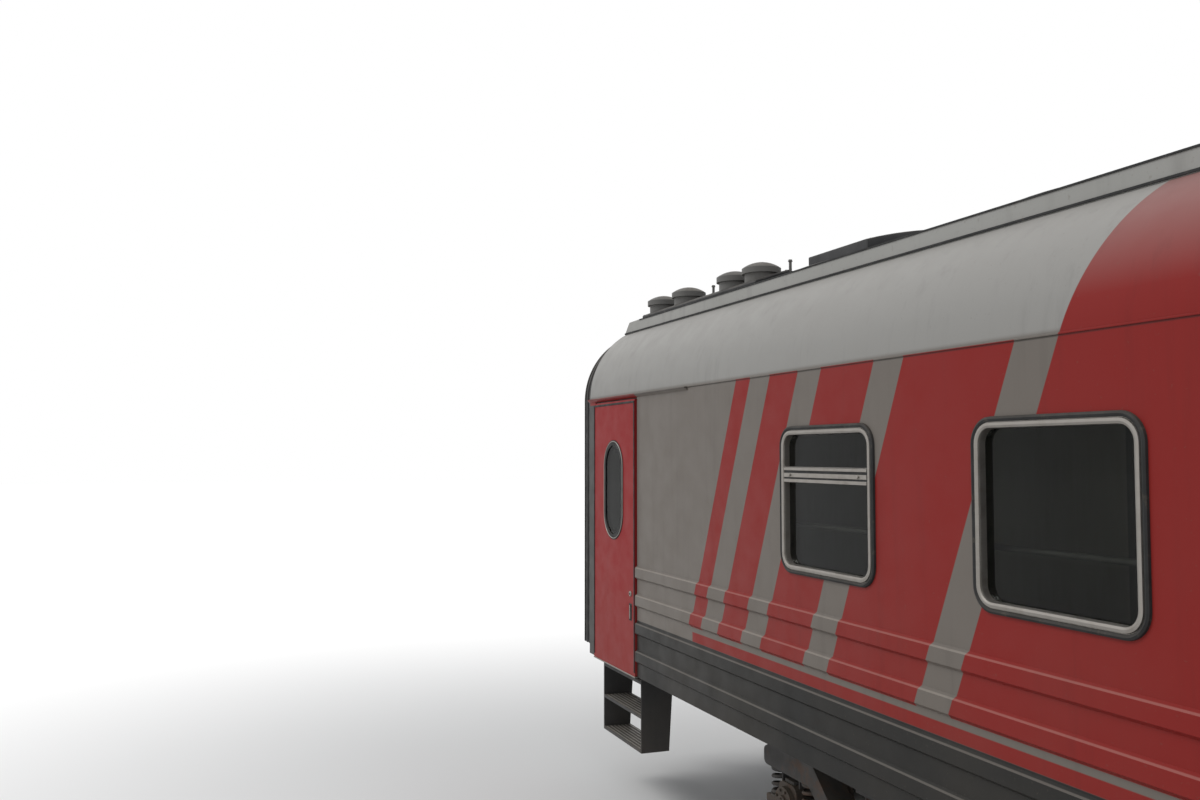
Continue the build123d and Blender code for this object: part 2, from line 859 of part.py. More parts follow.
def coupler():
    """Automatic coupler at the +X end: shank, head, large claw and small claw."""
    low, top = coupler_z - shank_half, coupler_z + shank_half
    neck = coupling_end - head_length + head_seat
    shape = block(body_end, neck, -shank_half, shank_half, low, top)
    sketch = make_face(Polyline(*[(coupling_end - back, y) for back, y in head_outline], close=True))
    head = extrude(fillet(sketch.vertices(), head_round), coupler_half, both=True)
    return shape + Pos(0, 0, coupler_z) * head


def buffer(side):
    """Side buffer at the +X end: flange, casing, plunger and a slightly domed head."""
    face = coupling_end - buffer_short
    front = face - buffer_bulge
    back = front - buffer_plate
    flange = body_end + buffer_flange_thick
    casing = body_end + buffer_casing_long
    profile = make_face(Polyline(
        (body_end, 0), (body_end, buffer_flange), (flange, buffer_flange), (flange, buffer_casing),
        (casing, buffer_casing), (casing, plunger_radius), (back - buffer_plate / 2, plunger_radius),
        (back, buffer_radius), (front, buffer_radius), (face - buffer_plate / 4, buffer_edge),
        (face, 0), close=True,
    ))
    return Pos(0, side * buffer_y, coupler_z) * revolve(profile, Axis.X)


# Gangways


def fairing():
    """Dark fairing arch at the +X end, a little inside the body's outline, with folds round it."""
    low = side_low + fairing_skirt
    end = coupling_end - gangway_clear
    shape = along_x(roof_section(fairing_inset, low), body_end, end)
    groove = roof_section(0, low - wall) - roof_section(fairing_inset + fold_depth, low - 2 * wall)
    pitch = (end - body_end) / fold_count
    for index in range(fold_count):
        x = body_end + (index + 0.5) * pitch
        shape -= along_x(groove, x - fold_width / 2, x + fold_width / 2)
    inner = roof_section(fairing_inset + fairing_thick, low - wall)
    return shape - along_x(inner, body_end - wall, end + wall)


def gangway_ring():
    """Rubber ring round the gangway opening at the +X end, its front edges bevelled."""
    height = gangway_height + gangway_tube + gangway_sill
    middle = floor_top + gangway_height + gangway_tube - height / 2
    outer = Pos(0, middle) * RectangleRounded(gangway_width + 2 * gangway_tube, height, gangway_tube / 2)
    opening = RectangleRounded(gangway_width, gangway_height, gangway_sill / 2)
    sketch = outer - Pos(0, floor_top + gangway_height / 2) * opening
    shape = along_x(Plane.YZ * sketch, body_end, coupling_end - gangway_clear)
    return chamfer(shape.faces().sort_by(Axis.X)[-1].edges(), gangway_bevel)


def tail_lamp(side):
    """Round tail lamp on the end wall at the +X end: a base with a lens on it."""
    base = Pos(lamp_depth / 2, 0, 0) * Rot(0, 90, 0) * Cylinder(lamp_radius, lamp_depth)
    lens = Pos(lamp_depth, 0, 0) * Rot(0, 90, 0) * Cylinder(lamp_lens_radius, lamp_depth)
    return Pos(body_end, side * lamp_y, rail_z + lamp_height) * (base + lens)


# Inside


def corridor_wall():
    """Wall between corridor and compartments, with a doorway to each compartment."""
    shape = block(-corridor_end, corridor_end, corridor_y, corridor_y + inner_wall, floor_top, ceiling_low)
    half = compartment_door / 2
    for x, z in window_places():
        near, far = corridor_y - wall, corridor_y + wall
        shape -= block(x - half, x + half, near, far, floor_top, ceiling_low - inner_door_head)
    return shape


def cross_wall(x):
    """Wall between two compartments."""
    half = inner_wall / 2
    return block(x - half, x + half, corridor_y + inner_wall, inner_half, floor_top, ceiling_low)


def cross_wall_places():
    """Middle of each wall between compartments."""
    return [first_window_x + (index - 0.5) * window_pitch for index in range(window_count + 1)]


def berths():
    """Lower berths on their boxes and upper berths on the cross walls, two of each a compartment."""
    solids = []
    reach = (window_pitch - inner_wall) / 2
    y0, y1 = corridor_y + inner_wall + berth_clear, inner_half - berth_clear
    low, high = floor_top + lower_berth, floor_top + upper_berth
    for x, z in window_places():
        for side in (-1, 1):
            x0, x1 = x + side * reach, x + side * (reach - berth_width)
            solids.append(block(x0, x1, y0, y1, floor_top, low))
            solids.append(block(x0, x1, y0, y1, high - berth_thick, high))
    return solids


def table(x):
    """Table under a compartment window."""
    top = floor_top + table_height
    sketch = Pos(x, inner_half - table_depth / 2) * Rectangle(2 * table_half, table_depth)
    inner_corners = sketch.vertices().sort_by(Axis.Y)[:2]
    return Pos(0, 0, top - table_thick) * extrude(fillet(inner_corners, 2 * table_thick), table_thick)


def handrail():
    """Rail along the corridor windows on brackets between them."""
    places = cross_wall_places()
    length = places[-1] - places[0]
    y = -inner_half + handrail_stand
    middle = Pos((places[-1] + places[0]) / 2, y, handrail_z)
    shape = middle * Rot(0, 90, 0) * Cylinder(handrail_radius, length)
    for x in places[1:-1]:
        bracket = rod(handrail_radius / 2, x, -inner_half, y, handrail_z)
        shape += bracket
    return shape


def partition():
    """Wall between the vestibule at the +X end and the corridor, with a passage."""
    x0, x1 = corridor_end, partition_x
    shape = block(x0, x1, -inner_half, inner_half, floor_top, ceiling_low)
    near, top = -inner_half + handrail_stand, ceiling_low - inner_door_head
    return shape - block(x0 - wall, x1 + wall, near, near + passage_width, floor_top, top)


# Under the floor


def entry_steps(x, side):
    """Steps under an entry door: two tapered hangers with treads between them."""
    half = door_width / 2 - step_side
    front = side * (inner_half + step_front)
    back = front - side * step_depth
    low = rail_z + first_step_height - (step_count - 1) * step_pitch - step_thick
    outline = Polyline(
        (front, floor_low), (front, low), (back, low), (front - side * hanger_top, floor_low), close=True,
    )
    hanger = Plane.YZ * make_face(outline)
    shape = along_x(hanger, x - half, x - half + hanger_thick)
    shape += along_x(hanger, x + half - hanger_thick, x + half)
    for index in range(step_count):
        top = rail_z + first_step_height - index * step_pitch
        shape += block(x - half, x + half, back, front, top - step_thick, top)
    return shape


def equipment_box(x0, x1, reach, underside):
    """Box hung under the +Y sole bar, its lower edges sloped, with a row of raised lids."""
    near = sole_y - reach
    low = rail_z + underside
    outline = Polyline(
        (near, sole_low), (sole_y, sole_low), (sole_y, low + box_bevel), (sole_y - box_bevel, low),
        (near + box_bevel, low), (near, low + box_bevel), close=True,
    )
    shape = along_x(Plane.YZ * make_face(outline), x0, x1)
    count = max(1, round((x1 - x0) / lid_pitch))
    pitch = (x1 - x0) / count
    height = sole_low - low - box_bevel - lid_margin
    z = sole_low - lid_margin / 2 - height / 2
    for index in range(count):
        x = x0 + (index + 0.5) * pitch
        shape += panel(pitch - lid_margin, height, lid_margin / 2, x, z, near, sole_y + lid_proud)
    return shape


def air_tank(side):
    """Compressed air reservoir with domed ends, on straps from two cross bars."""
    y = side * tank_y
    z = rail_z + tank_height
    turned = Rot(0, 90, 0) * Cylinder(tank_radius, tank_x1 - tank_x0)
    domed = fillet(turned.edges().filter_by(GeomType.CIRCLE), tank_round)
    shape = Pos((tank_x0 + tank_x1) / 2, y, z) * domed
    for index in (-3, -2):
        x = index * cross_bar_pitch
        shape += block(x - strap_half, x + strap_half, y - strap_half, y + strap_half, z, sole_low)
    return shape


# One file for each node

save("side_walls", [side_wall(side) for side in (-1, 1)])
save("window_frames", window_frames(-1) + window_frames(1))
save("window_glass", window_glass(-1) + window_glass(1))
save("end_walls", both_ends(end_wall()))

save("roof_shell", roof_shell())
save("roof_deck", roof_deck())
save("roof_equipment", roof_equipment())
save("fan_cowls", fan_cowls())

save("entry_doors", [entry_door(x, side) for x, side in door_places()])
save("entry_door_rubbers", [entry_rubber(x, side) for x, side in door_places()])
save("entry_door_glass", [entry_glass(x, side) for x, side in door_places()])
save("door_seals", [door_seal_ring(x, side) for x, side in door_places()])
save("door_gutters", both_ends(door_gutter(-1)) + both_ends(door_gutter(1)))
save("entry_steps", [entry_steps(x, side) for x, side in door_places()])

save("fairings", both_ends(fairing()))
save("gangway_rings", both_ends(gangway_ring()))
save("couplers", both_ends(coupler()))
save("buffers", both_ends(buffer(-1)) + both_ends(buffer(1)))
save("tail_lamps", both_ends(tail_lamp(-1)) + both_ends(tail_lamp(1)))

save("floor_plate", floor_plate())
save("sole_bars", both_ends(sole_bar()))
bar_places = range(-cross_bars_each_side, cross_bars_each_side + 1)
save("cross_bars", [cross_bar(index * cross_bar_pitch) for index in bar_places])
save("body_bolsters", [body_bolster(x) for x in (-bogie_x, bogie_x)])
save("headstocks", both_ends(headstock()))
boxes = [equipment_box(*row) for row in underfloor_boxes]
save("equipment_boxes", boxes + [mirror(box, Plane.XZ) for box in boxes])
save("air_tanks", [air_tank(side) for side in (-1, 1)])

save("ceiling", block(-end_inner, end_inner, -inner_half, inner_half, ceiling_low, side_top))
save("corridor_wall", corridor_wall())
save("cross_walls", [cross_wall(x) for x in cross_wall_places()])
save("berths", berths())
save("tables", [table(x) for x, z in window_places()])
save("handrail", handrail())
save("partitions", [partition(), mirror(partition(), Plane.YZ)])

for end, name in ((-1, "a"), (1, "b")):
    turn = Rot(0, 0, 90 - 90 * end)
    save("gangway_door_" + name, turn * gangway_door())
    save("gangway_pane_" + name, turn * gangway_pane(gap))
    place = Pos(end * bogie_x, 0, 0)
    save("bogie_frame_" + name, place * bogie_frame())
    save("bogie_bolster_" + name, place * swing_bolster())
    save("bogie_springs_" + name, [place * spring for spring in bogie_springs()])
    save("axle_boxes_" + name, [place * box for box in axle_boxes()])
    save("brake_gear_" + name, [place * caliper for caliper in brake_gear()])
    save("wheelset_" + name + "1", place * Pos(-half_base, 0, wheel_z) * wheelset())
    save("wheelset_" + name + "2", place * Pos(half_base, 0, wheel_z) * wheelset())
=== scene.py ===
import bpy
import bmesh
import json
import math
from functools import partial
from mathutils import Matrix, Vector


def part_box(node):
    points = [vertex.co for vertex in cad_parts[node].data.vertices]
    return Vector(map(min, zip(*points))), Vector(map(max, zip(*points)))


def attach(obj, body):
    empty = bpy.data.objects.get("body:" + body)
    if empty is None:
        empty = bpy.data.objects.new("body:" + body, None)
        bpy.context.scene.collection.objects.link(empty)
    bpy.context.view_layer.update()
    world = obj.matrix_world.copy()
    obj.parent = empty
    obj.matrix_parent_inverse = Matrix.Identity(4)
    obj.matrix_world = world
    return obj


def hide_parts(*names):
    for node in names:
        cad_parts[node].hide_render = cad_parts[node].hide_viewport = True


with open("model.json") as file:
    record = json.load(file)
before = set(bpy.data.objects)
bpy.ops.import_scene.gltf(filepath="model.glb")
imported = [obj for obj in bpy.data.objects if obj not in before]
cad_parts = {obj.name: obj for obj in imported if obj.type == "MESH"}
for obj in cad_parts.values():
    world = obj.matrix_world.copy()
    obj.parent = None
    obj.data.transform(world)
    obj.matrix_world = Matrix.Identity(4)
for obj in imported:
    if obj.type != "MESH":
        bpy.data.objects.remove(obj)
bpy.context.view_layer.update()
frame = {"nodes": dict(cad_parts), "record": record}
nodes = frame["nodes"]

# Places read from the frame, in metres
ROOF_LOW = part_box("roof_shell")[0]
SKIN = -ROOF_LOW.y
CANTRAIL = ROOF_LOW.z
BODY_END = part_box("end_walls")[1].x
FLOOR_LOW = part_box("floor_plate")[0].z
FLOOR_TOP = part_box("floor_plate")[1].z
DECK_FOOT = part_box("roof_deck")[0].z
DECK_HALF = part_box("roof_deck")[1].y
SOLE_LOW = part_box("sole_bars")[0].z
SOLE_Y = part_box("sole_bars")[1].y
FRAME_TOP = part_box("bogie_frame_b")[1].z

# Sizes of the coach, with RAIL the height of the rail's top over the wheel flanges
RAIL = 0.028
WHEEL_RADIUS = 0.4785
AXLE_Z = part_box("wheelset_b1")[0].z + RAIL + WHEEL_RADIUS
BOGIE_X = 8.5
HALF_BASE = 1.2
CROWN_RADIUS = 3.1856
CROWN_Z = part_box("roof_deck")[1].z - CROWN_RADIUS
DOOR_X = 11.81
WINDOW_HEIGHT = 2.60
WINDOW_PLACES = [-8.46 + 1.76 * index for index in range(10)]
SIDES = (-1, 1)
DOORWAYS = [(end, side) for end in SIDES for side in SIDES]

# Linear colours
GREY = (0.158, 0.139, 0.121)
ROOF_GREY = (0.286, 0.278, 0.261)
DARK = (0.014, 0.015, 0.015)
END_DARK = (0.052, 0.052, 0.050)
RED = (0.225, 0.012, 0.010)
DUST = (0.130, 0.108, 0.082)
RUST = (0.110, 0.052, 0.026)
# dark dirt, also used for the painted shade under the cantrail moulding
SOOT_AND_SHADE = (0.016, 0.015, 0.014)
FADED = (0.22, 0.19, 0.17)
# colour of the painted reflection of the sky on the roof's shoulder
SKY_SHEEN = (0.400, 0.375, 0.345)
CHIPPED = (0.20, 0.18, 0.16)
# colour of the painted highlight on the ribs
RIB_HIGHLIGHT = (0.135, 0.120, 0.104)


# Node helpers

PAINT_EDGE = 0.003


class Shade:
    """A material under construction, with short calls for the nodes that it needs."""

    def __init__(self, name, metallic=0.0, specular=0.5):
        self.material = bpy.data.materials.new(name)
        self.material.use_nodes = True
        self.tree = self.material.node_tree
        self.shader = self.tree.nodes["Principled BSDF"]
        self.set("Metallic", metallic)
        self.set("Specular IOR Level", specular)
        self.place = self.node("TexCoord").outputs["Object"]
        self.x, self.y, self.z = self.split(self.place)

    def link(self, value, socket):
        """Connects an output, or sets a plain number or colour."""
        if isinstance(value, bpy.types.NodeSocket):
            self.tree.links.new(value, socket)
        elif isinstance(value, tuple) and len(value) == 3 and socket.type == "RGBA":
            socket.default_value = (*value, 1.0)
        else:
            socket.default_value = value

    def set(self, name, value):
        """Gives the shader one of its inputs."""
        self.link(value, self.shader.inputs[name])

    def node(self, kind):
        return self.tree.nodes.new("ShaderNode" + kind)

    def split(self, vector):
        node = self.node("SeparateXYZ")
        self.link(vector, node.inputs[0])
        return node.outputs

    def math(self, kind, a, b=0.0, clamp=False):
        node = self.node("Math")
        node.operation = kind
        node.use_clamp = clamp
        self.link(a, node.inputs[0])
        self.link(b, node.inputs[1])
        return node.outputs[0]

    def times(self, a, b):
        return self.math("MULTIPLY", a, b)

    def length(self, a, b):
        """Length of a vector with two parts."""
        return self.math("SQRT", self.math("ADD", self.times(a, a), self.times(b, b)))

    def ramp(self, value, low, high, to_low=0.0, to_high=1.0, kind="LINEAR"):
        """A rise from one value to another, held outside it."""
        node = self.node("MapRange")
        node.interpolation_type = kind
        self.link(value, node.inputs["Value"])
        for name, number in (("From Min", low), ("From Max", high), ("To Min", to_low), ("To Max", to_high)):
            self.link(number, node.inputs[name])
        return node.outputs["Result"]

    def step(self, value, low, high):
        """0 up to low, 1 from high on and a smooth rise between."""
        return self.ramp(value, low, high, kind="SMOOTHSTEP")

    def above(self, value, limit, edge=PAINT_EDGE):
        """1 above a limit, 0 below it."""
        return self.step(value, limit - edge, limit + edge)

    def below(self, value, limit, edge=PAINT_EDGE):
        """1 below a limit, 0 above it."""
        return self.step(value, limit + edge, limit - edge)

    def inside(self, value, low, high, edge=PAINT_EDGE):
        """1 between low and high, 0 outside."""
        return self.math("SUBTRACT", self.above(value, low, edge), self.above(value, high, edge), clamp=True)

    def texture(self, kind, scale, vector=None):
        node = self.node(kind)
        self.link(self.place if vector is None else vector, node.inputs["Vector"])
        self.link(scale, node.inputs["Scale"])
        return node

    def noise(self, scale, detail=4.0, rough=0.55, stretch=(1, 1, 1), shift=(0, 0, 0)):
        mapping = self.node("Mapping")
        self.link(self.place, mapping.inputs["Vector"])
        self.link(stretch, mapping.inputs["Scale"])
        self.link(shift, mapping.inputs["Location"])
        node = self.texture("TexNoise", scale, mapping.outputs[0])
        self.link(detail, node.inputs["Detail"])
        self.link(rough, node.inputs["Roughness"])
        return node.outputs["Fac"]

    def cells(self, scale):
        return self.texture("TexVoronoi", scale).outputs["Distance"]

    def tone(self, low, high, scale, detail=4.0):
        """A value that drifts from low to high; most of a noise lies between 0.3 and 0.7."""
        return self.ramp(self.noise(scale, detail), 0.3, 0.7, low, high)

    def mix(self, factor, a, b, kind="MIX"):
        node = self.node("Mix")
        node.data_type = "RGBA"
        node.blend_type = kind
        self.link(factor, node.inputs["Factor"])
        self.link(a, node.inputs[6])
        self.link(b, node.inputs[7])
        return node.outputs[2]

    def spots(self, colour, spot, strength, noise, low, high):
        """A colour with spots of another where a noise is high."""
        return self.mix(self.times(self.step(noise, low, high), strength), colour, spot)

    def up(self):
        """How far the surface faces up, from 0 to 1."""
        normal = self.node("NewGeometry").outputs["Normal"]
        return self.math("MAXIMUM", self.split(normal)[2], 0.0)

    def bump(self, height, distance, strength):
        node = self.node("Bump")
        self.link(strength, node.inputs["Strength"])
        self.link(distance, node.inputs["Distance"])
        self.link(height, node.inputs["Height"])
        self.set("Normal", node.outputs[0])

    def finish(self, colour, rough):
        self.set("Base Color", colour)
        self.set("Roughness", rough)
        return self.material


def soiled(mat, colour, strength, low=0.35, high=3.4):
    """Road dust that gathers low down, streaks that run down, and fine specks."""
    height = mat.math("POWER", mat.ramp(mat.z, low, high, 1.0, 0.0), 1.6)
    broad = mat.step(mat.noise(0.9, 5.0), 0.25, 0.75)
    colour = mat.mix(mat.times(mat.times(height, broad), strength), colour, DUST)
    streaks = mat.noise(3.0, 6.0, 0.65, stretch=(4.0, 4.0, 0.22))
    colour = mat.spots(colour, SOOT_AND_SHADE, 0.22 * strength + 0.05, streaks, 0.50, 0.78)
    return mat.spots(colour, DUST, 0.16, mat.noise(55.0, 3.0), 0.66, 0.74)


def at_end_b(mat):
    """1 in the half of the coach with end b."""
    return mat.step(mat.x, 0.0, 0.1)


def watched_rays(tree):
    """1 for rays from the camera, mirrored or through glass."""
    rays = tree.nodes.new("ShaderNodeLightPath").outputs
    watched = rays["Is Camera Ray"]
    for name in ("Is Glossy Ray", "Is Transmission Ray"):
        most = tree.nodes.new("ShaderNodeMath")
        most.operation = "MAXIMUM"
        tree.links.new(watched, most.inputs[0])
        tree.links.new(rays[name], most.inputs[1])
        watched = most.outputs[0]
    return watched


# Paint

BANDS = (
    # width, height of the top over the rail
    (0.20, 3.38), (0.34, 3.38), (0.52, 3.38), (0.80, 3.38), (4.26, 4.40),
    (0.80, 3.38), (0.34, 3.38), (0.12, 3.38),
)
BAND_START = 10.29
BAND_GAP = 0.26
BAND_SLOPE = 0.42
BAND_FOOT = RAIL + 1.62
SLANT_BASE = RAIL + 1.6
LOWER_DARK_TOP = RAIL + 1.517
STRIPE_TOP = RAIL + 1.585
STRIPE_END = 10.25
FIELD_FOOT = 10.72
FIELD_SLOPE = 0.30
BORDER_WIDTH = 0.20
POST_X = BODY_END - 0.16
RIBS_TOP = RAIL + 2.05


def livery(mat):
    """Grey body with a dark lower side, a red stripe, a dark field at end b and slanted red bands."""
    along = mat.times(mat.x, mat.math("SIGN", mat.y))
    from_middle = mat.math("ABSOLUTE", mat.x)
    rise = mat.math("SUBTRACT", mat.z, SLANT_BASE)
    band_line = mat.math("ADD", along, mat.times(rise, BAND_SLOPE))
    field_line = mat.math("SUBTRACT", from_middle, mat.times(rise, FIELD_SLOPE))
    under_roof = mat.below(mat.z, CANTRAIL + PAINT_EDGE)
    end_face = mat.above(from_middle, BODY_END - 0.012, 0.002)

    colour = mat.mix(mat.step(mat.z, CANTRAIL - 0.004, CANTRAIL + 0.03), GREY, ROOF_GREY)
    start = BAND_START
    red = 0.0
    for width, top in BANDS:
        across = mat.inside(band_line, start - width, start)
        band = mat.times(across, mat.inside(mat.z, BAND_FOOT, RAIL + top))
        red = mat.math("MAXIMUM", red, band)
        start -= width + BAND_GAP
    colour = mat.mix(red, colour, RED)
    colour = mat.mix(mat.below(mat.z, LOWER_DARK_TOP), colour, DARK)
    stripe = mat.inside(mat.z, LOWER_DARK_TOP, STRIPE_TOP)
    colour = mat.mix(mat.times(stripe, mat.below(from_middle, STRIPE_END, 0.01)), colour, RED)

    field = mat.times(mat.above(field_line, FIELD_FOOT + PAINT_EDGE), at_end_b(mat))
    field = mat.math("MAXIMUM", field, mat.above(from_middle, POST_X))
    field = mat.math("MAXIMUM", mat.times(field, under_roof), end_face)
    colour = mat.mix(field, colour, END_DARK)
    border = mat.inside(field_line, FIELD_FOOT - BORDER_WIDTH, FIELD_FOOT)
    for limit in (under_roof, mat.above(mat.z, BAND_FOOT + PAINT_EDGE), at_end_b(mat)):
        border = mat.times(border, limit)
    over_door = mat.times(mat.above(from_middle, DOOR_X - 0.505, 0.005),
                          mat.inside(mat.z, CANTRAIL - 0.055, CANTRAIL))
    over_door = mat.times(over_door, mat.math("SUBTRACT", 1.0, end_face))
    colour = mat.mix(mat.math("MAXIMUM", border, over_door), colour, RED)
    # a dark line painted just under the cantrail moulding: painted shade
    moulding_shadow = mat.inside(mat.z, CANTRAIL - 0.012, CANTRAIL - 0.004, 0.002)
    return mat.mix(mat.times(moulding_shadow, 0.55), colour, SOOT_AND_SHADE)


def body_paint():
    mat = Shade("body_paint", specular=0.12)
    colour = livery(mat)
    colour = mat.mix(mat.tone(0.0, 0.05, 0.35, 3.0), colour, FADED)
    # the shoulder of the roof is lightened towards the deck: a painted reflection of the sky
    colour = mat.mix(mat.ramp(mat.z, CANTRAIL + 0.14, DECK_FOOT, 0.0, 0.40), colour, SKY_SHEEN)
    # painted highlight on the outer half of each rib's upper edge, where it faces up
    proud = mat.above(mat.math("ABSOLUTE", mat.y), SKIN + 0.011, 0.002)
    rib_highlight = mat.times(mat.times(mat.up(), mat.below(mat.z, RIBS_TOP, 0.05)), proud)
    colour = mat.mix(mat.times(rib_highlight, 0.9), colour, RIB_HIGHLIGHT, "ADD")
    colour = soiled(mat, colour, 0.26)
    sheet_waves = mat.noise(1.1, 2.0, 0.4, stretch=(1.0, 1.0, 1.6))
    mat.bump(sheet_waves, 0.012, 0.25)
    return mat.finish(colour, mat.tone(0.34, 0.52, 6.0))


def roof_paint():
    mat = Shade("roof_paint", specular=0.3)
    patches = mat.noise(0.7, 6.0, 0.6)
    stained = mat.ramp(patches, 0.35, 0.68, 0.0, 0.55)
    colour = mat.mix(stained, (0.265, 0.256, 0.238), (0.165, 0.153, 0.136))
    # the deck's upright sides are painted lighter than its top: a painted highlight
    lit_upright = mat.step(mat.up(), 0.55, 0.25)
    colour = mat.mix(mat.times(lit_upright, 0.75), colour, (0.345, 0.340, 0.318))
    rain = mat.noise(2.2, stretch=(3.2, 0.35, 0.35))
    colour = mat.spots(colour, SOOT_AND_SHADE, 0.24, rain, 0.50, 0.80)
    colour = mat.spots(colour, DUST, 0.25, mat.noise(38.0, 3.0), 0.6, 0.72)
    mat.bump(mat.noise(1.4, 3.0), 0.010, 0.3)
    return mat.finish(colour, mat.ramp(patches, 0.3, 0.7, 0.5, 0.75))


def plain_paint(name, colour, rough, dirt=0.5, dust_top=2.2, rust=0.0):
    """Painted metal with dust, rust, oily stains, small chips and a little orange peel."""
    mat = Shade(name, specular=0.35)
    lighter = tuple(channel * 1.5 + 0.01 for channel in colour)
    result = mat.mix(mat.tone(0.0, 0.30, 2.4), colour, lighter)
    result = soiled(mat, result, dirt, 0.1, dust_top)
    if rust:
        result = mat.spots(result, RUST, rust, mat.noise(7.0, 6.0, 0.68), 0.52, 0.66)
        stains = mat.noise(3.1, 5.0, 0.6, shift=(5.0, 2.0, 1.0))
        result = mat.spots(result, SOOT_AND_SHADE, 0.75, stains, 0.54, 0.66)
    result = mat.spots(result, CHIPPED, 0.35, mat.noise(60.0, 5.0, 0.7), 0.66, 0.70)
    settled = mat.times(mat.up(), mat.ramp(mat.noise(5.0), 0.35, 0.7, 0.1, 0.6))
    result = mat.mix(settled, result, DUST)
    mat.bump(mat.noise(90.0, 2.0), 0.0006, 0.4)
    return mat.finish(result, mat.tone(rough - 0.08, rough + 0.15, 8.0))


def door_paint():
    mat = Shade("door_paint", specular=0.06)
    tone = mat.tone(0.0, 0.35, 1.6)
    colour = mat.mix(tone, (0.268, 0.020, 0.021), (0.225, 0.014, 0.014))
    colour = mat.mix(at_end_b(mat), colour, END_DARK)
    colour = mat.mix(mat.ramp(mat.z, RAIL + 1.05, RAIL + 2.0, 0.12, 0.0), colour, DUST)
    colour = soiled(mat, colour, 0.18)
    mat.bump(mat.noise(1.5, 2.0), 0.006, 0.3)
    return mat.finish(colour, mat.tone(0.34, 0.50, 7.0))


# Other materials


def rubber(name, colour, rough):
    mat = Shade(name, specular=0.22)
    worn = mat.ramp(mat.noise(9.0, 5.0), 0.35, 0.75, 0.0, 0.5)
    result = mat.mix(worn, colour, tuple(channel * 2.2 for channel in colour))
    result = mat.spots(result, DUST, 0.3, mat.noise(30.0), 0.58, 0.75)
    result = mat.mix(mat.times(mat.up(), 0.35), result, DUST)
    mat.bump(mat.noise(70.0, 3.0), 0.0008, 0.5)
    return mat.finish(result, mat.tone(rough - 0.1, rough + 0.15, 14.0))


def window_glass(name, ior):
    mat = Shade(name, specular=0.08)
    mat.set("Transmission Weight", 1.0)
    mat.set("IOR", ior)
    film = mat.ramp(mat.noise(3.0, 5.0), 0.35, 0.75, 0.0, 0.30)
    colour = mat.mix(film, (0.262, 0.280, 0.266), (0.195, 0.208, 0.192))
    smears = mat.step(mat.noise(12.0, stretch=(1.0, 1.0, 0.3)), 0.5, 0.8)
    return mat.finish(colour, mat.ramp(smears, 0.0, 1.0, 0.02, 0.10))


def bright_metal():
    mat = Shade("window_metal", metallic=0.85)
    brushed = mat.noise(40.0, 3.0, 0.6, stretch=(0.3, 1.0, 6.0))
    colour = mat.mix(mat.ramp(brushed, 0.3, 0.7, 0.0, 0.35), (0.31, 0.290, 0.265), (0.217, 0.203, 0.1855))
    colour = mat.spots(colour, DUST, 0.25, mat.noise(11.0), 0.45, 0.75)
    mat.bump(brushed, 0.0003, 0.35)
    return mat.finish(colour, mat.tone(0.36, 0.58, 16.0))


def cast_steel():
    mat = Shade("cast_steel", metallic=0.35)
    tone = mat.ramp(mat.noise(6.0, 6.0), 0.3, 0.72, 0.0, 0.8)
    colour = mat.mix(tone, (0.052, 0.044, 0.038), (0.100, 0.072, 0.050))
    colour = mat.spots(colour, RUST, 0.5, mat.noise(17.0, 5.0), 0.55, 0.7)
    colour = mat.mix(mat.times(mat.up(), 0.5), colour, DUST)
    mat.bump(mat.noise(45.0, 5.0), 0.0022, 0.55)
    return mat.finish(colour, mat.tone(0.55, 0.82, 20.0))


TREAD_RADII = (0.470, 0.487)
TREAD_Y = (0.755, 0.838)
DISC_RADII = (0.175, 0.292)
DISC_Y = 0.415


def wheel_steel():
    """Dusty brown wheels with bright treads, brake discs and a dull axle."""
    mat = Shade("wheel_steel")
    tone = mat.tone(0.0, 0.7, 5.0, 6.0)
    colour = mat.mix(tone, (0.085, 0.066, 0.052), (0.140, 0.102, 0.072))
    past_first_axle = mat.math("SUBTRACT", mat.math("ABSOLUTE", mat.x), BOGIE_X - HALF_BASE)
    from_axle = mat.math("PINGPONG", past_first_axle, HALF_BASE)
    radius = mat.length(from_axle, mat.math("SUBTRACT", mat.z, AXLE_Z))
    across = mat.math("ABSOLUTE", mat.y)
    tread = mat.times(mat.inside(radius, *TREAD_RADII, 0.002), mat.inside(across, *TREAD_Y, 0.004))
    disc = mat.times(mat.inside(radius, *DISC_RADII, 0.004), mat.below(across, DISC_Y, 0.005))
    bright = mat.math("MAXIMUM", tread, mat.times(disc, 0.8))
    colour = mat.mix(bright, colour, (0.42, 0.41, 0.40))
    mat.bump(mat.noise(60.0), 0.0008, 0.4)
    mat.set("Metallic", mat.ramp(bright, 0.0, 1.0, 0.25, 1.0))
    return mat.finish(colour, mat.ramp(bright, 0.0, 1.0, 0.62, 0.28))


def lamp_glass():
    mat = Shade("lamp_glass")
    cells = mat.cells(70.0)
    colour = mat.mix(mat.ramp(cells, 0.0, 0.6), (0.40, 0.012, 0.010), (0.22, 0.006, 0.006))
    mat.set("Coat Weight", 0.8)
    mat.bump(cells, 0.002, 0.6)
    return mat.finish(colour, mat.tone(0.10, 0.24, 9.0))


def lining():
    mat = Shade("lining")
    colour = mat.mix(mat.tone(0.0, 1.0, 0.8, 3.0), (0.50, 0.45, 0.37), (0.56, 0.51, 0.43))
    grain = mat.noise(26.0, 4.0, 0.6, stretch=(1.0, 1.0, 0.12))
    colour = mat.mix(mat.ramp(grain, 0.4, 0.7, 0.0, 0.22), colour, (0.34, 0.25, 0.16))
    mat.bump(grain, 0.0005, 0.3)
    return mat.finish(colour, mat.ramp(grain, 0.3, 0.7, 0.4, 0.6))


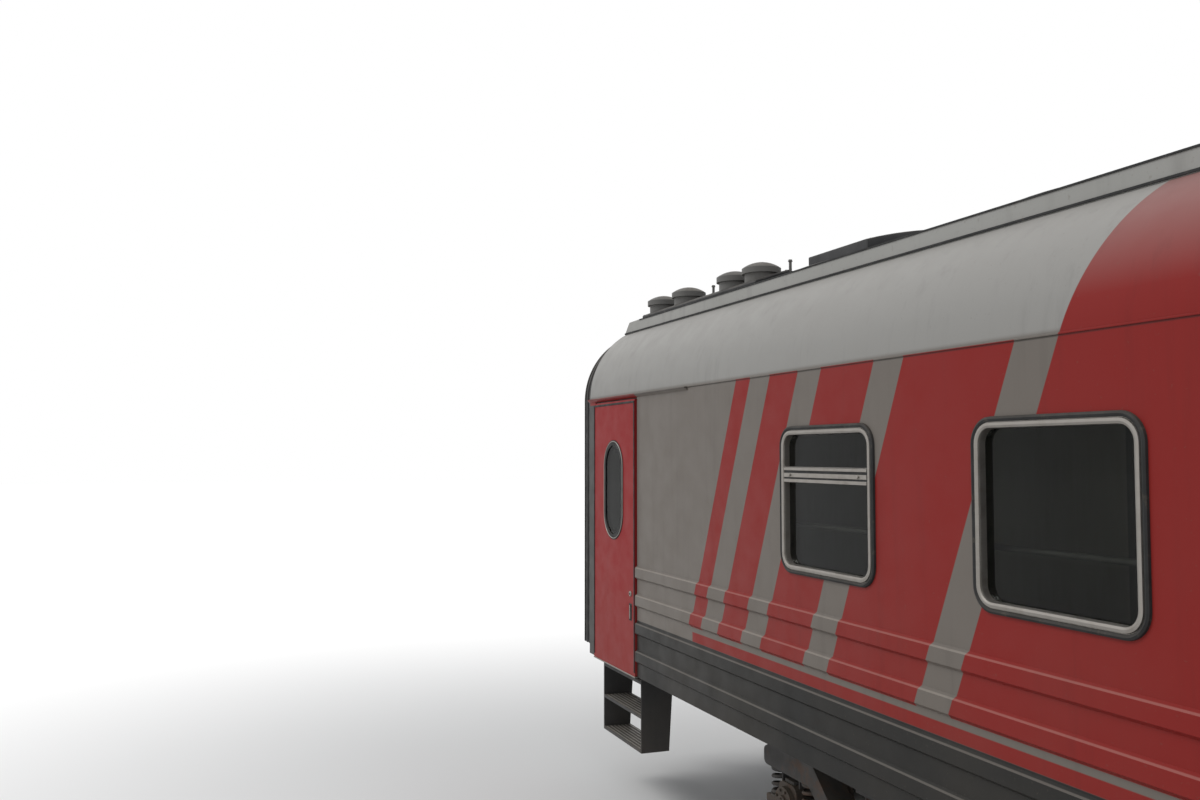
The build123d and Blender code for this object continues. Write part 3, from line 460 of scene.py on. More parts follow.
def floor_lino():
    mat = Shade("floor_lino")
    specks = mat.step(mat.noise(140.0, 2.0), 0.55, 0.62)
    colour = mat.mix(specks, (0.085, 0.078, 0.070), (0.20, 0.185, 0.165))
    trodden = mat.ramp(mat.noise(1.2, 5.0), 0.35, 0.7, 0.0, 0.5)
    colour = mat.mix(trodden, colour, (0.06, 0.05, 0.042))
    underside = mat.below(mat.z, RAIL + 1.23, 0.02)
    colour = mat.mix(underside, colour, (0.035, 0.034, 0.033))
    mat.bump(specks, 0.0004, 0.3)
    return mat.finish(colour, mat.tone(0.42, 0.68, 4.0))


def berth_fabric():
    mat = Shade("berth_fabric")
    mat.set("Sheen Weight", 0.35)
    weave = mat.texture("TexWave", 95.0).outputs["Fac"]
    threads = mat.times(weave, mat.cells(180.0))
    colour = mat.mix(mat.ramp(threads, 0.0, 0.5), (0.060, 0.078, 0.125), (0.110, 0.135, 0.200))
    colour = mat.mix(mat.ramp(mat.noise(3.0), 0.4, 0.7, 0.0, 0.4), colour, (0.045, 0.055, 0.085))
    mat.bump(threads, 0.0008, 0.5)
    return mat.finish(colour, mat.tone(0.82, 0.96, 8.0))


def plain_floor():
    """Pale floor that fades into the white background away from the coach."""
    mat = Shade("studio_floor", specular=0.2)
    past = [mat.math("MAXIMUM", mat.math("SUBTRACT", mat.math("ABSOLUTE", place), limit), 0.0)
            for place, limit in ((mat.x, BODY_END), (mat.y, SKIN))]
    far = mat.step(mat.length(*past), 1.0, 9.0)
    glow = mat.times(far, watched_rays(mat.tree))
    pale = mat.mix(mat.tone(0.0, 1.0, 0.15, 3.0), (0.66, 0.65, 0.635), (0.69, 0.68, 0.665))
    mat.set("Emission Color", (1.0, 1.0, 1.0))
    mat.set("Emission Strength", glow)
    return mat.finish(mat.mix(glow, pale, (0.0, 0.0, 0.0)), 0.8)


MATERIALS = {
    "body_paint": body_paint(),
    "roof_paint": roof_paint(),
    "fan_paint": plain_paint("fan_paint", (0.105, 0.103, 0.098), 0.55, dust_top=9.0),
    "dark_paint": plain_paint("dark_paint", (0.034, 0.034, 0.035), 0.58),
    "bogie_paint": plain_paint("bogie_paint", (0.036, 0.036, 0.037), 0.62, dirt=0.60, rust=0.55),
    "door_paint": door_paint(),
    "rubber": rubber("rubber", (0.020, 0.020, 0.020), 0.62),
    "fairing_rubber": rubber("fairing_rubber", (0.034, 0.033, 0.032), 0.58),
    "glass": window_glass("window_glass", 1.19),
    "window_metal": bright_metal(),
    "cast": cast_steel(),
    "wheel_steel": wheel_steel(),
    "lamp_plastic": lamp_glass(),
    "floor_lino": floor_lino(),
    "lining": lining(),
    "berth_fabric": berth_fabric(),
}

# The panes of the doors are seen at a flatter angle than the windows
NODE_MATERIALS = {"entry_door_glass": window_glass("door_glass", 1.11)}


# Finish of the pieces

SMOOTH_BELOW = math.radians(32)
BEVEL_ABOVE = math.radians(35)
WELD_DISTANCE = 0.00002
EDGE_WIDTHS = {
    0.003: "entry_steps",
    0.004: "gangway_door_a gangway_door_b window_frames sole_bars cross_bars",
    0.005: "brake_gear_a brake_gear_b",
    0.006: "entry_doors axle_boxes_a axle_boxes_b gangway_rings",
    0.008: "bogie_bolster_a bogie_bolster_b tables headstocks body_bolsters",
    0.010: "bogie_frame_a bogie_frame_b couplers roof_deck",
    0.012: "equipment_boxes roof_equipment fairings",
    0.025: "berths",
}


def smooth_group():
    """Geometry nodes that shade a mesh smooth between its sharp edges."""
    group = bpy.data.node_groups.new("smooth_by_angle", "GeometryNodeTree")
    for way in ("INPUT", "OUTPUT"):
        group.interface.new_socket("Geometry", in_out=way, socket_type="NodeSocketGeometry")
    angle = group.nodes.new("GeometryNodeInputMeshEdgeAngle")
    flat = group.nodes.new("FunctionNodeCompare")
    flat.operation = "LESS_THAN"
    flat.inputs["B"].default_value = SMOOTH_BELOW
    group.links.new(angle.outputs["Unsigned Angle"], flat.inputs["A"])
    geometry = group.nodes.new("NodeGroupInput").outputs[0]
    for domain in ("FACE", "EDGE"):
        shaded = group.nodes.new("GeometryNodeSetShadeSmooth")
        shaded.domain = domain
        group.links.new(geometry, shaded.inputs["Geometry"])
        geometry = shaded.outputs[0]
    group.links.new(flat.outputs[0], shaded.inputs["Shade Smooth"])
    group.links.new(geometry, group.nodes.new("NodeGroupOutput").inputs[0])
    return group


SMOOTH = smooth_group()


def shade_smooth(piece, flatten=False):
    """Smooth shading between sharp edges; flatten keeps flat faces even beside rounded ones."""
    piece.modifiers.new("smooth", "NODES").node_group = SMOOTH
    if flatten:
        piece.modifiers.new("weighted", "WEIGHTED_NORMAL").keep_sharp = True


def round_edges(piece, width, segments=2):
    """Welds the mesh and rounds its sharp edges."""
    piece.modifiers.new("weld", "WELD").merge_threshold = WELD_DISTANCE
    bevel = piece.modifiers.new("bevel", "BEVEL")
    bevel.width = width
    bevel.segments = segments
    bevel.limit_method = "ANGLE"
    bevel.angle_limit = BEVEL_ABOVE


def link_object(name, data):
    thing = bpy.data.objects.new(name, data)
    bpy.context.scene.collection.objects.link(thing)
    return thing


def link_mesh(name, bm, material):
    mesh = bpy.data.meshes.new(name)
    bm.to_mesh(mesh)
    bm.free()
    mesh.materials.append(material)
    return link_object(name, mesh)


def dress_nodes():
    """Gives each CAD node its material, rounded edges and smooth shading."""
    widths = {name: width for width, names in EDGE_WIDTHS.items() for name in names.split()}
    for row in frame["record"]["subparts"]:
        piece = nodes[row["node"]]
        material = NODE_MATERIALS.get(row["node"], MATERIALS[row["material_slot"]])
        if not piece.material_slots:
            piece.data.materials.append(material)
        for slot in piece.material_slots:
            slot.material = material
        rounded = row["node"] in widths
        if rounded:
            round_edges(piece, widths[row["node"]])
        shade_smooth(piece, rounded)


# Mesh helpers for added pieces


def spread(start, end, pitch):
    """Even places from start to end, about a pitch apart."""
    count = max(1, round(abs(end - start) / pitch))
    return [start + (end - start) * index / count for index in range(count + 1)]


def circle(count, radius, first=0.0):
    """Offsets of even places round a circle, the first at an angle in degrees."""
    angles = [math.radians(first + 360 * index / count) for index in range(count)]
    return [(radius * math.cos(angle), radius * math.sin(angle)) for angle in angles]


def corners(across, up):
    """Offsets of the four corners of a rectangle, from its half sizes."""
    return [(a, b) for a in (-across, across) for b in (-up, up)]


def rounded_outline(width, height, radius):
    """Points of a rounded rectangle in its own plane, going round once."""
    points = []
    for cx, cy, first in ((1, 1, 0), (-1, 1, 90), (-1, -1, 180), (1, -1, 270)):
        quarter = circle(4 * CORNER_STEPS, radius, first)[:CORNER_STEPS + 1]
        points += [(cx * (width / 2 - radius) + a, cy * (height / 2 - radius) + b) for a, b in quarter]
    return points


CORNER_STEPS = 8
COIL_STEPS = 22
COIL_FLAT = 0.7


class Piece:
    """The mesh of an added piece, with the finish of a slot."""

    made = []

    def __init__(self, name, slot, bevel=0.0, body="carbody", replaces=None):
        self.name, self.slot, self.bevel, self.body, self.replaces = name, slot, bevel, body, replaces
        self.bm = bmesh.new()
        self.made.append(self)

    def box(self, low, high):
        """A box between two opposite corners."""
        centre = [(a + b) / 2 for a, b in zip(low, high)]
        size = [abs(b - a) for a, b in zip(low, high)]
        matrix = Matrix.Translation(centre) @ Matrix.Diagonal((*size, 1.0))
        bmesh.ops.create_cube(self.bm, size=1.0, matrix=matrix)

    def rod(self, start, end, radius, end_radius=None, segments=14):
        start, end = Vector(start), Vector(end)
        turn = (end - start).to_track_quat("Z", "Y").to_matrix().to_4x4()
        far = radius if end_radius is None else end_radius
        bmesh.ops.create_cone(self.bm, cap_ends=True, segments=segments, radius1=radius, radius2=far,
                              depth=(end - start).length, matrix=Matrix.Translation((start + end) / 2) @ turn)

    def post(self, x, y, low, high, radius, end_radius=None, segments=14):
        """An upright rod."""
        self.rod((x, y, low), (x, y, high), radius, end_radius, segments)

    def bolt(self, place, radius, axis):
        """Hexagon head on a washer."""
        place, axis = Vector(place), Vector(axis) * radius
        self.rod(place, place + axis * 0.25, radius)
        self.rod(place + axis * 0.25, place + axis * 0.95, radius * 0.8, segments=6)

    def rivet(self, place, radius, axis=(0, 0, 1)):
        """Low domed head."""
        place, axis = Vector(place), Vector(axis) * radius
        self.rod(place, place + axis * 0.35, radius, radius * 0.85, 10)
        self.rod(place + axis * 0.35, place + axis * 0.6, radius * 0.85, radius * 0.35, 10)

    def sweep(self, outlines, closed=False):
        """Joins outlines in turn; a closed sweep returns to the first one, an open one is capped."""
        loops = [[self.bm.verts.new(point) for point in outline] for outline in outlines]
        for first, second in zip(loops, loops[1:] + loops[:1] if closed else loops[1:]):
            for index in range(len(first)):
                after = (index + 1) % len(first)
                self.bm.faces.new((first[index], first[after], second[after], second[index]))
        if not closed:
            self.bm.faces.new(loops[0])
            self.bm.faces.new(loops[-1][::-1])

    def pipe(self, points, radius, segments=10):
        """A round pipe through points."""
        points = [Vector(point) for point in points]
        ways = [(after - before).normalized() for before, after in zip(points, points[1:])]
        side = (points[1] - points[0]).orthogonal().normalized()
        outlines = []
        for point, before, after in zip(points, ways[:1] + ways, ways + ways[-1:]):
            ahead = (before + after).normalized()
            side = (side - ahead * side.dot(ahead)).normalized()
            up = ahead.cross(side)
            outlines.append([point + side * a + up * b for a, b in circle(segments, radius)])
        self.sweep(outlines)

    def bent_pipe(self, points, reach, radius):
        """A round pipe that takes a short curve at each point between its ends."""
        points = [Vector(point) for point in points]
        path = [points[0]]
        for before, corner, after in zip(points, points[1:], points[2:]):
            start = corner + (before - corner).normalized() * reach
            end = corner + (after - corner).normalized() * reach
            for t in spread(0.0, 1.0, 0.2):
                path.append(start * (1 - t) ** 2 + corner * 2 * t * (1 - t) + end * t * t)
        self.pipe(path + [points[-1]], radius)

    def coil(self, x, y, low, high, radius, wire, turns):
        """A coil spring with closed ends, the wire's centre line at a radius from its axis."""
        steps = round(turns * COIL_STEPS)
        flat = COIL_FLAT / turns
        points = []
        for t in spread(0.0, 1.0, 1 / steps):
            rise = min(1.0, max(0.0, (t - flat) / (1 - 2 * flat)))
            turn = 2 * math.pi * turns * t
            points.append((x + radius * math.cos(turn), y + radius * math.sin(turn),
                           low + wire + (high - low - 2 * wire) * rise))
        self.pipe(points, wire, 8)

    def spring(self, x, y, ends, form):
        """Coils one inside another between two round seats."""
        low, high = ends
        seat, seat_radius, coils = form
        self.post(x, y, low, low + seat, seat_radius, segments=28)
        self.post(x, y, high - seat, high, seat_radius, segments=28)
        for coil in coils:
            self.coil(x, y, low + seat, high - seat, *coil)

    def ring(self, centre, side, size, profile):
        """Sweeps a profile of (inward, outward) offsets round a rounded rectangle on a side wall."""
        width, height, radius = size
        cx, cy, cz = centre
        outlines = []
        for inward, outward in profile:
            outline = rounded_outline(width - 2 * inward, height - 2 * inward, max(radius - inward, 0.004))
            outlines.append([(cx + x, cy + side * outward, cz + z) for x, z in outline])
        self.sweep(outlines, closed=True)

    def finish(self):
        """Links the mesh as a piece of the object."""
        bmesh.ops.recalc_face_normals(self.bm, faces=self.bm.faces)
        piece = link_mesh(self.name, self.bm, MATERIALS[self.slot])
        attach(piece, self.body)
        if self.replaces:
            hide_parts(self.replaces)
        if self.bevel:
            round_edges(piece, self.bevel, 1)
        shade_smooth(piece, self.bevel > 0)


# Pieces on the sides

# Rings have a width, height and corner radius, and a profile
WINDOW_GASKET = ((0.987, 0.892, 0.126),
                 ((0, 0.0), (0.002, 0.012), (0.012, 0.017), (0.024, 0.012), (0.026, 0.0)))
WINDOW_BEAD = ((0.935, 0.840, 0.100),
               ((0, 0.006), (0.003, 0.016), (0.016, 0.0185), (0.026, 0.014), (0.028, 0.004)))
DOOR_BEAD = ((0.446, 0.846, 0.222),
             ((0, 0.0), (0, 0.006), (0.004, 0.0085), (0.008, 0.006), (0.008, 0.0)))
VENT_WINDOWS = (0, 3, 8, 9)
VENT_HEIGHT = 2.749
VENT_RAILS = ((2.706, 2.726), (2.736, 2.762), (2.777, 2.795))
DOOR_OUT = 0.016
LOCK_HEIGHT = 1.72


def on_side(side, x, height, out=0.0):
    """A point on a side wall: its height over the rail, and how far it stands out."""
    return (x, side * (SKIN + out), RAIL + height)


def window_gaskets():
    """Dark rubber round each window and a metal bead inside it."""
    outer, bead = Piece("window_gaskets", "rubber"), Piece("window_beads", "window_metal")
    for side in SIDES:
        for x in WINDOW_PLACES:
            centre = on_side(side, x, WINDOW_HEIGHT)
            outer.ring(centre, side, *WINDOW_GASKET)
            bead.ring(centre, side, *WINDOW_BEAD)


def vent_bars():
    """Three bright rails across each window that has an opening vent."""
    bars, backing = Piece("vent_bars", "window_metal", 0.002), Piece("vent_backing", "rubber")
    for side in SIDES:
        for index in VENT_WINDOWS:
            x = WINDOW_PLACES[index]
            backing.box(on_side(side, x - 0.434, 2.704), on_side(side, x + 0.434, 2.797, 0.0105))
            for low, high in VENT_RAILS:
                bars.box(on_side(side, x - 0.436, low), on_side(side, x + 0.436, high, 0.0165))
            for knob in (x - 0.36, x + 0.36):
                bars.rod(on_side(side, knob, VENT_HEIGHT, 0.015),
                         on_side(side, knob, VENT_HEIGHT, 0.026), 0.008)


def fit_door(end, side, strips, metal, recess_shade):
    """Edge rubbers, flush pull, lock, threshold and pane bead of one entry door."""
    def at(x, height, out=0.0):
        return on_side(side, end * DOOR_X + x, height, DOOR_OUT + out)

    for edge in (-0.478, 0.478):
        strips.box(at(edge - 0.009, 1.085), at(edge + 0.009, 3.315, 0.005))
    strips.box(at(-0.487, 3.305), at(0.487, 3.322, 0.005))
    pull = -end * 0.395
    # dark rubber patch in the pull's recess: painted shade
    recess_shade.box(at(pull - 0.028, 1.50), at(pull + 0.028, 1.64, 0.002))
    metal.box(at(pull - 0.006, 1.515, 0.001), at(pull + 0.006, 1.625, 0.0095))
    metal.rod(at(pull, LOCK_HEIGHT), at(pull, LOCK_HEIGHT, 0.008), 0.024, 0.021, 24)
    # dark disc in the lock's keyhole: painted shade
    recess_shade.rod(at(pull, LOCK_HEIGHT, 0.007), at(pull, LOCK_HEIGHT, 0.0095), 0.009)
    metal.box(at(-0.49, 1.045, -0.028), at(0.49, 1.0545, 0.004))
    metal.ring(at(0, 2.57), side, *DOOR_BEAD)


def door_fittings():
    strips = Piece("door_edge_rubbers", "rubber", 0.002)
    metal = Piece("door_locks", "window_metal", 0.0015)
    # dark patches that stand for the shade in the pulls' recesses and keyholes
    recess_shade = Piece("door_recess_shades", "rubber")
    for end, side in DOORWAYS:
        fit_door(end, side, strips, metal, recess_shade)


# Pieces on the roof

COWLS = (
    # end, distances of the cowls from it
    (-1, (0.56, 1.09, 1.94, 2.36)), (1, (1.94, 2.36)),
)
PLATE_EDGES = (0.897, 1.158)
PLATE_RISE = 0.024
STUB_PIPE_Y = 0.855
HATCHES = (
    # end, distances of the near and far edge from it, half width, rise over the deck
    (-1, 1.18, 1.78, 0.56, 0.055), (-1, 2.76, 3.49, 0.87, 0.062),
    (1, 0.76, 1.36, 0.56, 0.055), (1, 2.86, 4.66, 0.87, 0.062),
)
DECK_STEP = 0.09


def deck_z(y, rise=0.0):
    """Height of the roof deck's surface."""
    return CROWN_Z + math.sqrt((CROWN_RADIUS + rise) ** 2 - y * y)


def fit_cowls(end, places, pipes, bolts):
    """Stub pipes between the cowls of one end, and rivets along their plates."""
    for side in SIDES:
        for place in places:
            x, y = end * (BODY_END - place - 0.13), side * STUB_PIPE_Y
            low = deck_z(y) - 0.01
            pipes.post(x, y, low, low + 0.09, 0.011)
            pipes.post(x, y, low + 0.09, low + 0.105, 0.017, 0.013)
            bolts.post(x, y, low + 0.008, low + 0.018, 0.024)
        for place in spread(places[0] - 0.14, places[-1] + 0.14, 0.18):
            for y in PLATE_EDGES:
                bolts.rivet((end * (BODY_END - place), side * y, deck_z(y, PLATE_RISE) - 0.0015), 0.008)


def roof_fittings():
    """Stub pipes, rivets of the plates and hatches, and hatch catches."""
    pipes, bolts = Piece("roof_stub_pipes", "fan_paint"), Piece("roof_bolts", "fan_paint")
    catches = Piece("roof_catches", "dark_paint", 0.003)
    for end, places in COWLS:
        fit_cowls(end, places, pipes, bolts)
    for end, near, far, half, rise in HATCHES:
        for y in spread(-half + 0.05, half - 0.05, 0.22):
            for place in (near + 0.035, far - 0.035):
                bolts.rivet((end * (BODY_END - place), y, deck_z(y, rise) - 0.0042), 0.010)
        x = end * (BODY_END - near)
        for y in (-half * 0.55, half * 0.55):
            catches.box((x - 0.03, y - 0.05, deck_z(y) + 0.01), (x + 0.03, y + 0.05, deck_z(y, rise) + 0.008))


def seams_and_edge_shadows():
    """Dark strips along the deck's edges as painted shadow lines, joints across the deck and mouldings along
    the cantrail.
    """
    edge_shadows, joints = Piece("deck_edge_shadows", "rubber"), Piece("deck_joints", "roof_paint")
    moulding = Piece("cantrail_mouldings", "body_paint", 0.002)
    for side in SIDES:
        # dark rubber strips at the deck's edges stand in for the shadow lines there: painted shade
        for reach, z, inner, outer, over in (
                (BODY_END - 0.01, deck_z(DECK_HALF, -DECK_STEP), 0.01, 0.008, 0.006),
                (BODY_END - 0.36, deck_z(DECK_HALF), 0.03, 0.005, 0.004)):
            edge_shadows.box((-reach, side * (DECK_HALF - inner), z - 0.006),
                      (reach, side * (DECK_HALF + outer), z + over))
        moulding.box((-BODY_END + 0.02, side * (SKIN - 0.004), CANTRAIL - 0.005),
                     (BODY_END - 0.02, side * (SKIN + 0.005), CANTRAIL + 0.005))
    for x in spread(-BODY_END + 1.0, BODY_END - 1.0, 2.1):
        strip = []
        for y in spread(-DECK_HALF + 0.03, DECK_HALF - 0.03, 0.08):
            low, high = deck_z(y) - 0.006, deck_z(y) + 0.003
            strip.append([(x - 0.01, y, low), (x - 0.01, y, high), (x + 0.01, y, high), (x + 0.01, y, low)])
        joints.sweep(strip)


# Pieces on the ends

GRAB_RAIL_Y = 1.30
GRAB_RAIL_ENDS = (1.50, 2.75)
LAMP_Y, LAMP_Z = 1.13, RAIL + 3.0
SOCKET_Y, SOCKET_Z = 0.78, 1.71
BUFFER_Y, BUFFER_Z = 0.93, RAIL + 1.06
LEVER_Z = 1.235
COCK_Z = 1.00


def at_end(end, out, y, z):
    """A point that stands out from an end wall."""
    return (end * (BODY_END + out), y, z)


def fit_end_side(end, side, rails, plates, rims, lenses, bolts):
    """Grab rail, tail lamp, socket and the buffer's bolts on one side of an end."""
    at = partial(at_end, end)
    y = side * GRAB_RAIL_Y
    low, high = GRAB_RAIL_ENDS
    rails.bent_pipe([at(0, y, low), at(0.06, y, low), at(0.06, y, high), at(0, y, high)], 0.03, 0.014)
    for z in GRAB_RAIL_ENDS:
        rails.rod(at(0, y, z), at(0.008, y, z), 0.034)
    lamp = (side * LAMP_Y, LAMP_Z)
    rims.rod(at(0.022, *lamp), at(0.034, *lamp), 0.070, 0.062, 28)
    lenses.rod(at(0.048, *lamp), at(0.058, *lamp), 0.054, 0.040, 28)
    lenses.rod(at(0.058, *lamp), at(0.064, *lamp), 0.040, 0.018, 28)
    y = side * SOCKET_Y
    plates.box(at(0, y - 0.08, SOCKET_Z - 0.09), at(0.075, y + 0.08, SOCKET_Z + 0.09))
    plates.rod(at(0.075, y, SOCKET_Z), at(0.10, y, SOCKET_Z), 0.055, 0.050, 24)
    for dy, dz in corners(0.1015, 0.08):
        bolts.bolt(at(0, y + dy, SOCKET_Z + dz), 0.010, (end, 0, 0))
    for dy, dz in corners(0.115, 0.10):
        bolts.bolt(at(0.02, side * BUFFER_Y + dy, BUFFER_Z + dz), 0.017, (end, 0, 0))


def fit_end_middle(end, rails, plates, bolts):
    """Ribbed footplate, uncoupling lever, brake cocks and the coupler's bolted plates."""
    at = partial(at_end, end)
    plates.box(at(0, -0.375, FLOOR_TOP - 0.012), at(0.276, 0.375, FLOOR_TOP - 0.002))
    for y in spread(-0.33, 0.33, 0.06):
        plates.box(at(0.01, y - 0.008, FLOOR_TOP - 0.003), at(0.265, y + 0.008, FLOOR_TOP + 0.002))
    lever = ((0.045, -1.22, 1.12), (0.045, -1.22, LEVER_Z), (0.045, -0.20, LEVER_Z), (0.10, -0.12, LEVER_Z))
    rails.bent_pipe([at(*place) for place in lever], 0.035, 0.011)
    for y in (-1.12, -0.34):
        plates.box(at(0, y - 0.02, LEVER_Z - 0.03), at(0.062, y + 0.02, LEVER_Z + 0.0025))
    for y in (-0.42, 0.42):
        rails.bent_pipe([at(0, y, COCK_Z), at(0.09, y, COCK_Z), at(0.13, y, COCK_Z - 0.045)], 0.03, 0.017)
        plates.rod(at(0.02, y, COCK_Z), at(0.065, y, COCK_Z), 0.028, segments=6)
        plates.box(at(0.030, y - 0.006, COCK_Z + 0.02), at(0.052, y + 0.006, COCK_Z + 0.085))
    for side in SIDES:
        for z in (0.96, 1.05, 1.14):
            bolts.bolt(at(0, side * 0.19, z), 0.016, (end, 0, 0))
        plates.box(at(0, side * 0.09, 0.93), at(0.016, side * 0.165, 1.21))


def end_fittings():
    rails, plates = Piece("end_rails", "dark_paint"), Piece("end_plates", "cast", 0.003)
    rims, lenses = Piece("lamp_rims", "dark_paint", 0.002), Piece("lamp_lenses", "lamp_plastic")
    bolts = Piece("end_bolts", "cast")
    for end in SIDES:
        for side in SIDES:
            fit_end_side(end, side, rails, plates, rims, lenses, bolts)
        fit_end_middle(end, rails, plates, bolts)


# Pieces under the floor

BOXES = (
    # x0, x1, underside
    (-2.7, -0.7, 0.52), (-0.3, 1.5, 0.60), (2.1, 3.9, 0.48), (4.5, 5.9, 0.56),
)
LID_WIDTH = 0.68
LID_GAP = 0.021
LID_OUT = 0.010
TANK_Y, TANK_Z = 0.4, 0.9
PIPE_Z = SOLE_LOW - 0.022
STEP_TOPS = (RAIL + 1.0, RAIL + 0.72, RAIL + 0.44)


def fit_lid(side, middle, half, low, high, louvred, metal, slats):
    """Latches, hinges, rivets and louvres of one lid of an equipment box."""
    def at(x, z, out=0.0):
        return (middle + x, side * (SOLE_Y + LID_OUT + out), z)

    for x in (-half * 0.6, half * 0.6):
        metal.box(at(x - 0.018, low + 0.03), at(x + 0.018, low + 0.10, 0.014))
        metal.rod(at(x, low + 0.065), at(x, low + 0.065, 0.022), 0.009)
        metal.rod(at(x - 0.05, high - 0.012, 0.004), at(x + 0.05, high - 0.012, 0.004), 0.009)
    if louvred:
        for z in spread(low + 0.15, high - 0.07, 0.034):
            slats.box(at(-half * 0.72, z, -0.002), at(half * 0.72, z + 0.012, 0.012))
    for x in spread(-half + 0.03, half - 0.03, 0.14):
        metal.rivet(at(x, high - 0.035, -0.001), 0.006, (0, side, 0))


def underfloor_fittings():
    """Lid fittings, hanger angles and bolts of the boxes, and the tanks' bands and drains."""
    metal, slats = Piece("box_latches", "window_metal", 0.0015), Piece("box_louvres", "dark_paint")
    bands = Piece("hanger_bands", "bogie_paint", 0.002)
    for side in SIDES:
        for row, (x0, x1, low) in enumerate(BOXES):
            lids = round((x1 - x0) / LID_WIDTH)
            pitch = (x1 - x0) / lids
            for index in range(lids):
                fit_lid(side, x0 + (index + 0.5) * pitch, pitch / 2 - LID_GAP, low + 0.09 + LID_GAP,
                        SOLE_LOW - LID_GAP, (row + index) % 2, metal, slats)
            for x in (x0 + 0.03, x1 - 0.03):
                bands.box((x - 0.03, side * (SOLE_Y - 0.30), SOLE_LOW - 0.10),
                          (x + 0.03, side * (SOLE_Y - 0.02), SOLE_LOW))
            for x in spread(x0 + 0.10, x1 - 0.10, 0.30):
                for inset in (0.16, 0.42):
                    metal.bolt((x, side * (SOLE_Y - inset), low + 0.001), 0.011, (0, 0, -1))
        y = side * TANK_Y
        for x in (-4.35, -2.9):
            bands.rod((x - 0.03, y, TANK_Z), (x + 0.03, y, TANK_Z), 0.176, segments=40)
        for x in (-5.1, -3.3):
            metal.post(x, y, TANK_Z - 0.165, TANK_Z - 0.20, 0.014)
            metal.rod((x, y, TANK_Z - 0.20), (x + 0.05, y, TANK_Z - 0.20), 0.008)


def underfloor_pipes():
    """Air and heating pipes, a cable trunk and their clamps under the cross bars."""
    pipes, trunk = Piece("underfloor_pipes", "bogie_paint"), Piece("cable_trunk", "dark_paint", 0.003)
    for y, radius in ((-0.12, 0.017), (-0.05, 0.013), (0.07, 0.021)):
        pipes.rod((-8.1, y, PIPE_Z), (8.1, y, PIPE_Z), radius)
    for side in SIDES:
        tank_pipe = [(-5.30, side * TANK_Y, 0.93), (-5.55, side * TANK_Y, 0.93), (-5.55, side * 0.13, PIPE_Z)]
        pipes.bent_pipe(tank_pipe, 0.06, 0.014)
        for end in SIDES:
            brake_pipe = [(end * x, side * y, z) for x, y, z in (
                (8.78, 0.21, 1.19), (12.0, 0.21, 1.19), (12.15, 0.42, 1.10), (12.26, 0.42, COCK_Z))]
            pipes.bent_pipe(brake_pipe, 0.06, 0.017)
    trunk.box((-2.6, 0.20, SOLE_LOW - 0.062), (7.6, 0.34, SOLE_LOW - 0.001))
    for x in spread(-5.8, 5.8, 1.45):
        trunk.box((x - 0.02, -0.16, SOLE_LOW - 0.048), (x + 0.02, 0.11, SOLE_LOW - 0.004))
    for x in spread(-2.4, 7.4, 0.7):
        trunk.box((x - 0.012, 0.192, SOLE_LOW - 0.066), (x + 0.012, 0.348, SOLE_LOW - 0.001))


def floor_ribs():
    """Pressed ribs along the underside of the floor."""
    ribs = Piece("floor_ribs", "floor_lino", 0.004)
    reach = BODY_END - 0.35
    for y in spread(-1.26, 1.26, 0.105):
        ribs.box((-reach, y - 0.014, FLOOR_LOW - 0.010), (reach, y + 0.014, FLOOR_LOW + 0.002))


def step_treads():
    """Raised ribs on the entry steps."""
    ribs = Piece("step_ribs", "window_metal", 0.001)
    for end, side in DOORWAYS:
        x = end * DOOR_X
        for top in STEP_TOPS:
            for depth in spread(1.245, 1.455, 0.035):
                y = side * depth
                ribs.box((x - 0.40, y - 0.006, top - 0.001), (x + 0.40, y + 0.006, top + 0.004))


# Bogies

LETTERS = {-1: "a", 1: "b"}
SPRING_Y = 1.0
AXLE_SPRING_X = (-0.205, 0.205)
BOLSTER_SPRING_X = (-0.105, 0.105)
AXLE_SPRING_ENDS = (AXLE_Z - 0.010, FRAME_TOP - 0.155)
BOLSTER_SPRING_ENDS = (FRAME_TOP - 0.2, 0.8807)
# A spring has a seat's height and radius, then the radius, wire radius and turns of each coil
AXLE_SPRING = (0.010, 0.078, ((0.062, 0.0125, 4.4),))
BOLSTER_SPRING = (0.012, 0.094, ((0.076, 0.014, 4.6), (0.044, 0.009, 6.6)))
ROD_Y, ROD_Z = 0.90, 0.915


def bogie_springs(end):
    """Coil springs with their seats, in place of the plain springs."""
    letter = LETTERS[end]
    coils = Piece("coil_springs_" + letter, "bogie_paint", 0.0, "bogie_" + letter, "bogie_springs_" + letter)
    for side in SIDES:
        y = side * SPRING_Y
        for axle in (-HALF_BASE, HALF_BASE):
            for x in AXLE_SPRING_X:
                coils.spring(end * BOGIE_X + axle + x, y, AXLE_SPRING_ENDS, AXLE_SPRING)
        for x in BOLSTER_SPRING_X:
            coils.spring(end * BOGIE_X + x, y, BOLSTER_SPRING_ENDS, BOLSTER_SPRING)


def fit_axle_box(x, side, bolts, plates):
    """Cover bolts, stops and spring bolts of one axle box."""
    for dx, dz in circle(8, 0.086, 22.5):
        bolts.bolt((x + dx, side * 1.111, AXLE_Z + dz), 0.012, (0, side, 0))
    for dx, dz in circle(3, 0.034, 90):
        bolts.bolt((x + dx, side * 1.129, AXLE_Z + dz), 0.008, (0, side, 0))
    for plate in (x - 0.112, x + 0.112):
        plates.box((plate - 0.007, side * 0.95, AXLE_Z + 0.118), (plate + 0.007, side * 1.05, AXLE_Z + 0.196))
    plates.box((x - 0.06, side * 0.94, AXLE_Z + 0.128), (x + 0.06, side * 1.06, AXLE_Z + 0.150))
    for spring in AXLE_SPRING_X:
        for dx, dy in circle(4, 0.05, 45):
            bolts.bolt((x + spring + dx, side * SPRING_Y + dy, AXLE_Z - 0.072), 0.010, (0, 0, -1))


